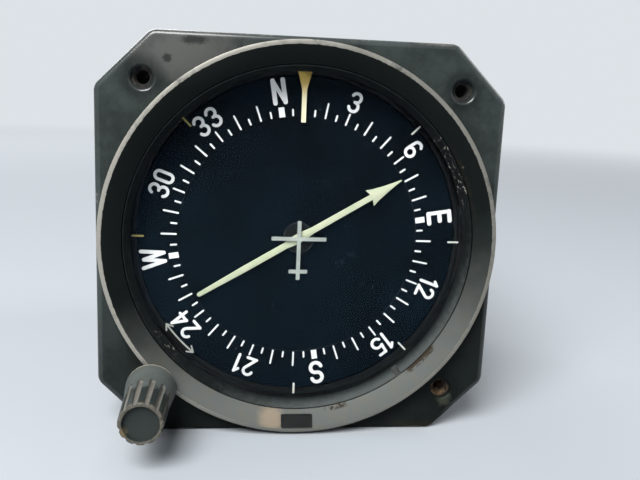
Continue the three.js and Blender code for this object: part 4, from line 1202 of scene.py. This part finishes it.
@dataclass
class Casting:
    """The cast front: a flange with cut corners, and the ring round the window."""

    thickness: float = 6.0
    cut: float = 10.8
    corner_radius: float = 2.5
    edge_round: float = 1.0
    ring_radius: float = 39.8
    ring_front: float = -3.0
    ring_back: float = 5.8
    rim_inner: float = 38.75
    bore_radius: float = 34.3
    shelf: float = 4.4
    plate_size: Pair = (6.5, 2.8)
    plate_wall: float = 0.35
    plate_below: float = 37.42
    cone_slope: float = math.radians(22.1)

    def build(self) -> None:
        """Makes the casting, its inserts, the knob's bush and the bare plate on the ring."""
        self.casting()
        self.inserts()
        self.bush()
        self.plate()

    def screw_places(self) -> dict[str, Pair]:
        """The screw holes' corners and places. The knob has the fourth corner."""
        places = four_places(SCREW_SIDE, SCREW_SIDE)
        del places["bottom_left"]
        return places

    def casting(self) -> None:
        """The flange with its holes, and the ring turned in one section with the window's pocket."""
        flange = BENCH.clipped("front_casting", FLANGE_HALF, self.cut, self.corner_radius, 0, self.thickness)
        BENCH.round_edges(flange, 0, self.edge_round, 5)
        BENCH.round_edges(flange, self.thickness, 0.25, 1)
        lip = [(2.64, 0.0), (2.46, 0.05), (2.27, 0.18), (2.15, 0.38), (2.1, 0.7)]
        profile = [(3.64, -1.0), *lip, (2.1, 1.2), (2.75, 1.2), (2.75, 7.0)]
        holes = [BENCH.turned("bore", [(39.2, -1), (39.2, 7)], 144)]
        holes += [BENCH.turned("screw_hole", profile, 48, place) for place in self.screw_places().values()]
        BENCH.cut(flange, holes)
        BENCH.cut(flange, [BENCH.turned("bush_hole", [(3.15, -1), (3.15, 7)], 48, KNOB_AXIS)])
        outer, front, rim, back = self.ring_radius, self.ring_front, self.rim_inner, self.ring_back
        section = [
            (outer, back), (outer, front + 0.18), (outer - 0.05, front + 0.06), (outer - 0.18, front),
            (rim + 0.14, front), (rim - 0.03, front + 0.05),
            (POCKET_RADIUS + 0.08, -1.64), (POCKET_RADIUS, -1.55), (POCKET_RADIUS, self.shelf),
            (self.bore_radius, self.shelf), (self.bore_radius, back),
        ]
        ring = BENCH.ring("ring", section, 180)
        hollow = [(3.85, front - 1), (3.85, 0), (3.15, 0), (3.15, 7)]
        BENCH.cut(ring, [BENCH.turned("hollow", hollow, 48, KNOB_AXIS)])
        boss = [(2.5, 5.0), (1.5, 5.0), (1.5, 9.0), (2.5, 9.0)]
        bosses = [BENCH.ring("boss", boss, 32, place) for place in four_places(*POSTS).values()]
        casting = BENCH.join("front_casting", [flange, ring, *bosses])
        BENCH.finish(casting, "bezel_paint", "bezel", smooth=30)

    def inserts(self) -> None:
        """A threaded brass insert in each screw hole, closed at its back."""
        bore, crest, outer, pitch, turns, front, back = 1.55, 1.3, 2.6, 0.7, 5, 1.2, 6.0
        start = front + 0.2
        profile = [(bore, back - 0.6)]
        for turn in range(turns, 0, -1):
            profile += [(bore, start + turn * pitch), (crest, start + (turn - 0.5) * pitch)]
        profile += [(bore, start), (bore + 0.15, front), (outer - 0.15, front), (outer, front + 0.15), (outer, back)]
        for corner, place in self.screw_places().items():
            insert = BENCH.turned(f"threaded_insert_{corner}", profile, 40, place)
            look = Finishes.INSERT if corner == "bottom_right" else Finishes.DARK_INSERT
            BENCH.finish(insert, "brass", f"mounting_insert_{corner}", look=look)

    def bush(self) -> None:
        """The knob's bush, with a small flange in front."""
        section = [(1.85, -1.2), (3.45, -1.2), (3.55, -1.1), (3.55, 0), (2.85, 0), (2.85, 7.5), (1.85, 7.5)]
        BENCH.finish(BENCH.ring("shaft_bush", section, 48, KNOB_AXIS), "brass", "knob_bush")

    def plate(self) -> None:
        """A small bare black plate on the ring, under the dial."""
        plate = BENCH.sheet("ring_plate", rectangle(*self.plate_size), -0.32, 0.2, 0.3)
        inner = rectangle(*(side - 2 * self.plate_wall for side in self.plate_size))
        BENCH.cut(plate, [BENCH.sheet("recess", inner, -1.0, -0.2, 0.2)])
        station = (POCKET_RADIUS - self.plate_below) * math.tan(self.cone_slope) - 1.6
        lifted = Matrix.Translation((0, station * MM, -self.plate_below * MM))
        plate.matrix_world = lifted @ Matrix.Rotation(-self.cone_slope, 4, "X")
        BENCH.settle(plate)
        BENCH.finish(plate, "black_metal", turn=-0.46)


@dataclass
class Window:
    """The glass, the split ring that holds it, and what is printed on its back."""

    radius: float = 35.0
    front: float = 1.5
    back: float = 3.9
    chamfer: float = 0.25
    index_inner: float = 31.57
    index_outer: float = 34.08
    index_width: float = 0.44
    ink: float = 0.04
    ink_middle: float = 3.915
    bar_width: float = 0.8
    arrow_width: float = 0.4
    arrow_radius: float = 32.8
    arrow_start: float = 221.0
    arrow_end: float = 235.5

    def build(self) -> None:
        """Makes the pane, the split ring, the gasket and the print."""
        self.pane()
        self.split_ring()
        self.gasket()
        self.marks()
        self.lubber_line()
        self.aircraft()
        self.turn_arrow()

    def pane(self) -> None:
        """The round glass, with its edges taken off."""
        radius, front, back, chamfer = self.radius, self.front, self.back, self.chamfer
        profile = [(radius - chamfer, front), (radius, front + chamfer), (radius, back - chamfer)]
        pane = BENCH.turned("window_pane", [*profile, (radius - chamfer, back)], 144)
        BENCH.finish(pane, "window_glass", "window_glass")

    def split_ring(self) -> None:
        """The ring that springs into the pocket in front of the glass."""
        section = [
            (35.15, -1.42), (35.15, self.front), (34.0, self.front), (34.0, 1.28),
            (34.06, 1.2), (34.86, -1.42), (34.95, -1.5), (35.08, -1.5),
        ]
        ring = BENCH.ring("window_split_ring", section, 180)
        gap = BENCH.block("gap", (4.0, 1.3), -3.0, 3.0, (34.6, 0.0))
        with BENCH.editing(gap):
            bpy.ops.transform.rotate(value=math.radians(-52), orient_axis="Y", center_override=(0, 0, 0))
        BENCH.cut(ring, [gap])
        BENCH.finish(ring, "black_metal", "window_retaining_ring", look=Finishes.SNAP_RING)

    def gasket(self) -> None:
        """The rubber seal behind the glass."""
        section = [(34.0, self.back), (self.radius, self.back), (self.radius, 4.4), (34.0, 4.4)]
        BENCH.finish(BENCH.ring("window_seal", section, 120), "gasket_rubber", "window_gasket")

    def marks(self) -> None:
        """The index marks every 45 degrees, except at the top and beside the knob."""
        pen = Pen()
        for turn in (45, 90, 135, 180, 270, 315):
            pen.tick(self.index_inner, self.index_outer, self.index_width, turn)
        BENCH.finish(pen.lifted("index_marks", self.ink_middle), "pointer_cream", look=Finishes.INDEX_INK)

    def lubber_line(self) -> None:
        """The wedge and line at the top that the card is read against."""
        side = [(-1.42, 34.0), (-0.55, 30.75), (-0.475, 30.2), (-0.475, 23.96)]
        line = BENCH.sheet("lubber_line", mirrored(side), self.back, self.back + self.ink)
        BENCH.finish(line, "pointer_cream", look=Finishes.LUBBER_INK)

    def aircraft(self) -> None:
        """The small aircraft symbol over the dial's centre: wings, body and tail, each at a depth of its own."""
        width, bars = self.bar_width, []
        shapes = (((11.4, width), 0.0, 0.0), ((width, 12.5), 2.46, 0.002), ((3.9, width), 6.95, 0.001))
        for size, below, depth in shapes:
            front = self.back + depth
            bars.append(BENCH.block("bar", size, front, front + self.ink, (0, -below)))
        BENCH.finish(BENCH.join("aircraft_symbol", bars), "pointer_cream", look=Finishes.GREY_INK)

    def turn_arrow(self) -> None:
        """A small curved arrow beside the knob, which shows that it turns."""
        pen, radius, width = Pen(), self.arrow_radius, self.arrow_width
        pen.stroke(arc(0.0, 0.0, radius, 90 - self.arrow_start, 90 - self.arrow_end, 8), width)
        for turn, way in ((self.arrow_start, 1), (self.arrow_end, -1)):
            for side in (-1, 1):
                pen.stroke([(0.0, radius), (way * 1.15, radius + side * 0.8)], width, turn)
        BENCH.finish(pen.lifted("turn_arrow", self.ink_middle), "pointer_cream", look=Finishes.DIM_INK)


@dataclass
class Card:
    """The compass card and what is printed on it."""

    radius: float = 33.2
    front: float = 5.6
    back: float = 6.5
    step_depth: float = 0.15
    hole: float = 2.4
    heading: float = -9.53
    tick_inner: float = 25.15
    tick_width: float = 0.43
    ink_middle: float = 5.595

    def build(self) -> None:
        """Makes the card and its print, all turned to the heading."""
        radius, front, low = self.radius, self.front, self.front + self.step_depth
        section = [
            (self.hole, low), (STEP_RADIUS - 0.02, low), (STEP_RADIUS, front), (radius - 0.12, front),
            (radius, front + 0.12), (radius, self.back), (self.hole, self.back),
        ]
        card = BENCH.ring("dial_card", section, 180)
        BENCH.finish(card, "card_black", "compass_card", body=Body.CARD, turn=self.heading)
        for printed in (self.scale(), self.signs()):
            BENCH.finish(printed, "pointer_cream", look=Finishes.WHITE_INK, body=Body.CARD, turn=self.heading)

    def scale(self) -> Piece:
        """The ticks, each kind drawn once and repeated round the card.

        Returns:
            The scale in one piece.
        """
        kinds = []
        for outer, turns, copies, apart in (
            (26.6, (5.0,), 35, 10.0),
            (28.45, (10.0, 20.0), 11, 30.0),
            (27.75, (30.0, 60.0), 3, 90.0),
        ):
            pen = Pen()
            for turn in turns:
                pen.tick(self.tick_inner, outer, self.tick_width, turn)
            kinds.append(pen.lifted("ticks", self.ink_middle))
            BENCH.repeat(kinds[-1], copies, apart)
        kinds.append(BENCH.block("cardinal_marks", (1.2, 2.0), self.front - 0.02, self.front + 0.01, (0, 26.1)))
        BENCH.repeat(kinds[-1], 3, 90.0)
        return BENCH.join("card_scale", kinds)

    def signs(self) -> Piece:
        """Four letters and eight numbers, upright from the middle outwards.

        Returns:
            The signs in one piece.
        """
        pen = Pen()
        for step, sign in enumerate(("N", "3", "6", "E", "12", "15", "S", "21", "24", "W", "30", "33")):
            if sign in "NESW":
                pen.write(sign, 0.92, 27.6, 33.0, 30.0 * step)
            else:
                pen.write(sign, 0.73, 27.95, 32.45, 30.0 * step, 0.42)
        return pen.lifted("card_signs", self.ink_middle)


@dataclass
class Pointer:
    """The bearing pointer on its arbor."""

    front: float = 4.55
    back: float = 4.95
    heading: float = 58.75
    half: float = 0.66
    reach: float = 24.66
    tail: float = 24.3
    shaft_end: float = 62.0

    def build(self) -> None:
        """Makes the blade and the arbor with its disc."""
        half = self.half
        side = [
            (0.22, -self.tail), (0.44, -self.tail + 0.3), (half, -13.0), (half, -3.3), (0.95, -0.9), (0.95, 0.9),
            (half, 3.3), (0.58, 17.41), (1.88, 17.0), (1.42, 18.2), (0.82, 20.66), (0.36, 23.0), (0.12, self.reach),
        ]
        blade = BENCH.sheet("pointer_blade", mirrored(side), self.front, self.back)
        BENCH.soften(blade, 0.07, 50)
        BENCH.finish(blade, "pointer_cream", "bearing_pointer", body=Body.POINTER, turn=self.heading)
        profile = [(3.2, self.back), (3.3, self.back + 0.07), (3.3, 5.3), (1.2, 5.3), (1.2, self.shaft_end)]
        arbor = BENCH.turned("pointer_arbor", profile, 72)
        BENCH.finish(arbor, "steel", "pointer_shaft", look=Finishes.HUB, body=Body.POINTER)


@dataclass
class Knob:
    """The fluted knob that turns the card."""

    back: float = -3.3
    front: float = -20.3
    front_radius: float = 4.15
    flutes: int = 12
    flute_radius: float = 0.58
    flute_depth: float = 0.35
    flute_end: float = 6.3

    def build(self) -> None:
        """Turns the body, mills the flutes round it and softens their edges."""
        back, front, rim = self.back, self.front, self.front_radius
        profile = [
            (1.85, back), (4.85, back), (5.0, back - 0.15), (5.0, back - 0.85), (4.96, back - 1.15),
            (4.53, back - 6.2), (4.49, back - 6.8), (rim + 0.02, front + 0.42), (rim - 0.06, front + 0.14),
            (rim - 0.24, front), (rim - 0.72, front), (rim - 0.82, front + 0.12), (rim - 0.86, front + 1.0),
        ]
        knob = BENCH.turned("set_knob", profile, 120, KNOB_AXIS)
        BENCH.cut(knob, self.flute_cutters())
        BENCH.soften(knob, 0.1, 35)
        look = KnobPlastic("knob_plastic", back, front, rim)
        BENCH.finish(knob, "knob_plastic", "card_set_knob", look=look, body=Body.KNOB, smooth=40)

    def flute_cutters(self) -> list[Piece]:
        """The round-ended mills that cut the flutes.

        Returns:
            One solid for each flute.
        """
        reach = self.front_radius + self.flute_radius - self.flute_depth
        ball, middle = self.flute_radius, self.back - self.flute_end - self.flute_radius
        profile = [(ball, self.front - 1), *(polar(0.0, middle, ball, degrees) for degrees in (0, 20, 40, 60, 75))]
        turns = [(index + 0.5) * 360 / self.flutes for index in range(self.flutes)]
        return [BENCH.turned("flute", profile, 32, polar(*KNOB_AXIS, reach, turn)) for turn in turns]


@dataclass
class Case:
    """The sleeve and its rear cover with screws."""

    half: float = 39.3
    cut: float = 9.0
    radius: float = 2.5
    front: float = 6.0
    back: float = 90.0
    cover_back: float = 91.5
    screw_head: float = 1.4

    def build(self) -> None:
        """Makes the sleeve, the cover and four screws."""
        outline = (self.half, self.cut, self.radius)
        sleeve = BENCH.clipped("outer_sleeve", *outline, self.front, self.back, 1.0)
        BENCH.soften(sleeve, 0.2, 60)
        BENCH.finish(sleeve, "case_paint", "case_sleeve")
        cover = BENCH.clipped("back_plate", *outline, self.back, self.cover_back)
        BENCH.round_edges(cover, self.cover_back, 0.5, 3)
        places = four_places(*POSTS)
        holes = [BENCH.turned("hole", [(1.2, 89), (1.2, 93)], 32, place) for place in places.values()]
        BENCH.cut(cover, [*holes, BENCH.sheet("shell_hole", Connector().outline(0.0), 89, 93, 1.0)])
        lip = BENCH.clipped("lip", 38.0, 8.24, 1.5, 87.5, 90.4, 0.6)
        BENCH.finish(BENCH.join("back_plate", [cover, lip]), "case_paint", "rear_cover")
        for corner, place in places.items():
            self.screw(corner, place)

    def screw(self, corner: str, place: Pair) -> None:
        """A slotted screw in the cover.

        Args:
            corner: Which corner it is in.
            place: Its place on the dial's plane.
        """
        seat, top = self.cover_back, self.cover_back + self.screw_head
        profile = [
            (0.9, 84.0), (0.9, seat), (1.8, seat), (1.9, seat + 0.1),
            (1.9, top - 0.6), (1.7, top - 0.22), (1.3, top - 0.04), (0.8, top),
        ]
        screw = BENCH.turned(f"cover_screw_{corner}", profile, 48, place)
        BENCH.cut(screw, [BENCH.block("slot", (5.0, 0.5), top - 0.65, top + 1, place)])
        BENCH.finish(screw, "steel", f"rear_cover_screw_{corner}")


@dataclass
class Connector:
    """The fifteen-way connector on the rear cover."""

    flange_size: Pair = (39.2, 12.6)
    half_top: float = 12.4
    taper: float = 1.4
    half_height: float = 4.1
    seat: float = 91.5
    flange_back: float = 92.5
    back: float = 98.0
    pitch: float = 2.77
    row: float = 1.42
    jack_side: float = 16.65

    def outline(self, inset: float) -> list[Pair]:
        """The shell's outline, wider at the top than at the bottom."""
        top, height = self.half_top - inset, self.half_height - inset
        return [(top, height), (-top, height), (self.taper - top, -height), (top - self.taper, -height)]

    def build(self) -> None:
        """Makes the shell, the insulator with its contacts, and the jackposts."""
        self.shell()
        self.insulator()
        self.jackposts()

    def shell(self) -> None:
        """The plated flange, and the shell that stands up from it."""
        flange = BENCH.sheet("socket_shell", rectangle(*self.flange_size), self.seat, self.flange_back, 1.5)
        BENCH.round_edges(flange, self.flange_back, 0.3, 2)
        wall = BENCH.sheet("wall", self.outline(0.0), 92.0, self.back, 1.3)
        BENCH.round_edges(wall, self.back, 0.2, 2)
        bore = BENCH.sheet("bore", self.outline(0.6), 90.0, self.back + 1, 0.9)
        other = BENCH.copy(bore, "other_bore")
        BENCH.cut(flange, [bore])
        BENCH.cut(wall, [other])
        BENCH.finish(BENCH.join("socket_shell", [flange, wall]), "connector_plating", "connector_shell")

    def insulator(self) -> None:
        """The black block with eight gold sockets above seven, each in its hole."""
        face = self.back - 0.4
        block = BENCH.sheet("socket_insulator", self.outline(0.9), 84.5, face, 0.7)
        rows = ((8, 3.5, self.row), (7, 3.0, -self.row))
        places = [((step - middle) * self.pitch, up) for count, middle, up in rows for step in range(count)]
        BENCH.cut(block, [BENCH.turned("hole", [(0.72, 94), (0.72, 99)], 20, place) for place in places])
        BENCH.finish(block, "insulator_black", "connector_insulator")
        mouth = [(0.68, face - 0.5), (0.6, face - 0.35), (0.5, face - 0.35), (0.42, face - 0.5)]
        contacts = [BENCH.ring("contact", [(0.68, 94.1), *mouth, (0.42, 94.1)], 20, places[0])]
        for right, up in places[1:]:
            shift = (right - places[0][0], up - places[0][1])
            contacts.append(BENCH.copy(contacts[0], "contact_copy", shift))
        BENCH.finish(BENCH.join("socket_contacts", contacts), "brass", look=Finishes.GOLD)

    def jackposts(self) -> None:
        """The hexagonal posts that the plug's screws go into."""
        profile = [(1.2, 89.5), (1.2, self.flange_back), (2.7, self.flange_back), (2.7, 97.2), (2.4, 97.5)]
        thread = [(1.22, 94.0)]
        for turn in range(6):
            thread += [(1.34, 94.25 + turn * 0.5), (1.14, 94.5 + turn * 0.5)]
        for side, right in (("left", -self.jack_side), ("right", self.jack_side)):
            post = BENCH.turned(f"jackpost_{side}", profile, 6, (right, 0.0))
            BENCH.cut(post, [BENCH.turned("thread", [*thread, (1.4, 97.3), (1.7, 97.7)], 24, (right, 0.0))])
            BENCH.finish(post, "connector_plating", f"connector_jackpost_{side}")


@dataclass
class Studio:
    """The pale floor, the soft lights and the camera at the photograph's angle."""

    focal_px: float = 746.97
    frame_px: float = 640.0
    sensor: float = 36.0
    eye: tuple = (-13.355, -147.697, 30.013)
    azimuth: float = -6.67
    elevation: float = 11.16
    roll: float = 2.48
    pale: Colour = (0.72, 0.76, 0.80)
    cloth: Colour = (0.40, 0.43, 0.46)
    sky: Colour = (0.93, 0.96, 1.0)
    sky_strength: float = 0.2

    def build(self) -> None:
        """Makes everything that is not part of the object."""
        self.floor()
        self.world()
        self.camera()
        self.lamp("key_light", (-0.22, -0.50, 0.56), 0.4, 10.0)
        self.lamp("side_light", (0.80, 0.12, 0.45), 0.5, 3.0)
        self.lamp("back_light", (-0.30, 0.80, 0.55), 0.5, 5.0)
        bpy.context.scene.view_settings.view_transform = "Standard"

    @staticmethod
    def seen(graph: Graph) -> Wire:
        """Is 1 for rays from the eye, also by way of a mirror or through glass."""
        rays = [graph.node("LightPath", {}, {}, f"Is {kind} Ray") for kind in ("Camera", "Glossy", "Transmission")]
        return rays[0].least(rays[1]).least(rays[2])

    def floor(self) -> None:
        """A wide pale floor that fades into the background."""
        bpy.ops.object.select_all(action="DESELECT")
        bpy.ops.mesh.primitive_circle_add(vertices=96, radius=6.0, fill_type="NGON")
        floor = bpy.context.active_object
        floor.name = "studio_floor"
        material = bpy.data.materials.new("studio_floor")
        graph = Graph(material)
        distance = graph.node("VectorMath", {"operation": "LENGTH"}, {0: graph.place}, "Value")
        cloth = graph.node("BsdfPrincipled", {}, {"Base Color": rgba(self.cloth), "Roughness": 0.9})
        glow = graph.node("Emission", {}, {"Color": rgba(self.pale), "Strength": 1.0})
        fade = distance.rise(0.3, 1.2) * self.seen(graph)
        graph.show(graph.node("MixShader", {}, {0: fade, 1: cloth, 2: glow}))
        floor.data.materials.append(material)

    def world(self) -> None:
        """A pale background to the eye, and an even soft light on the object."""
        world = bpy.data.worlds.new("studio")
        bpy.context.scene.world = world
        graph = Graph(world, "OutputWorld")
        light = graph.node("Background", {}, {"Color": rgba(self.sky), "Strength": self.sky_strength})
        backdrop = graph.node("Background", {}, {"Color": rgba(self.pale)})
        graph.show(graph.node("MixShader", {}, {0: self.seen(graph), 1: light, 2: backdrop}))

    @staticmethod
    def placed(name: str, data: bpy.types.Camera | bpy.types.Light, matrix: Matrix) -> Piece:
        """Puts a camera or a lamp in the scene, at a place and with a direction."""
        item = bpy.data.objects.new(name, data)
        bpy.context.scene.collection.objects.link(item)
        item.matrix_world = matrix
        return item

    def camera(self) -> None:
        """The camera, as fitted to the flange, the ring and the holes."""
        az, el, roll = (math.radians(angle) for angle in (self.azimuth, self.elevation, self.roll))
        back = Vector((math.sin(az) * math.cos(el), -math.cos(az) * math.cos(el), math.sin(el)))
        level = Vector((math.cos(az), math.sin(az), 0.0))
        above = back.cross(level)
        right = math.cos(roll) * level + math.sin(roll) * above
        up = math.cos(roll) * above - math.sin(roll) * level
        data = bpy.data.cameras.new("camera")
        data.sensor_width = self.sensor
        data.lens = self.focal_px * self.sensor / self.frame_px
        data.clip_start = 0.005
        turned = Matrix((right, up, back)).transposed().to_4x4()
        matrix = Matrix.Translation(Vector(self.eye) * MM + DIAL) @ turned
        bpy.context.scene.camera = self.placed("camera", data, matrix)

    def lamp(self, name: str, place: tuple, size: float, watts: float) -> None:
        """A soft square lamp that faces the object.

        Args:
            name: The lamp's name.
            place: Where it hangs, in metres.
            size: Its side.
            watts: Its strength.
        """
        data = bpy.data.lights.new(name, "AREA")
        data.size = size
        data.energy = watts
        aim = Vector((0.0, 0.0, 0.04)) - Vector(place)
        self.placed(name, data, Matrix.Translation(place) @ aim.to_track_quat("-Z", "Y").to_matrix().to_4x4())


def dress_frame() -> None:
    """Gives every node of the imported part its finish. The plate behind the card is black."""
    for name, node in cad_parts.items():
        slot = node.data.materials[0].name if node.data.materials else ""
        finish = Finishes.BY_SLOT.get(slot.split(".")[0], Finishes.STEEL)
        if name == "front_plate":
            finish = Finishes.BLACK_METAL
        finish.dress(node)
        if not node.hide_render:
            log.info("%s: the part's own node, in %s", name, finish.name)


def main() -> None:
    """Builds the pieces in order, then the studio."""
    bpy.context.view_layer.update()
    for assembly in (Casting(), Window(), Card(), Pointer(), Knob(), Case(), Connector()):
        assembly.build()
    dress_frame()
    Studio().build()


if __name__ == "__main__":
    main()
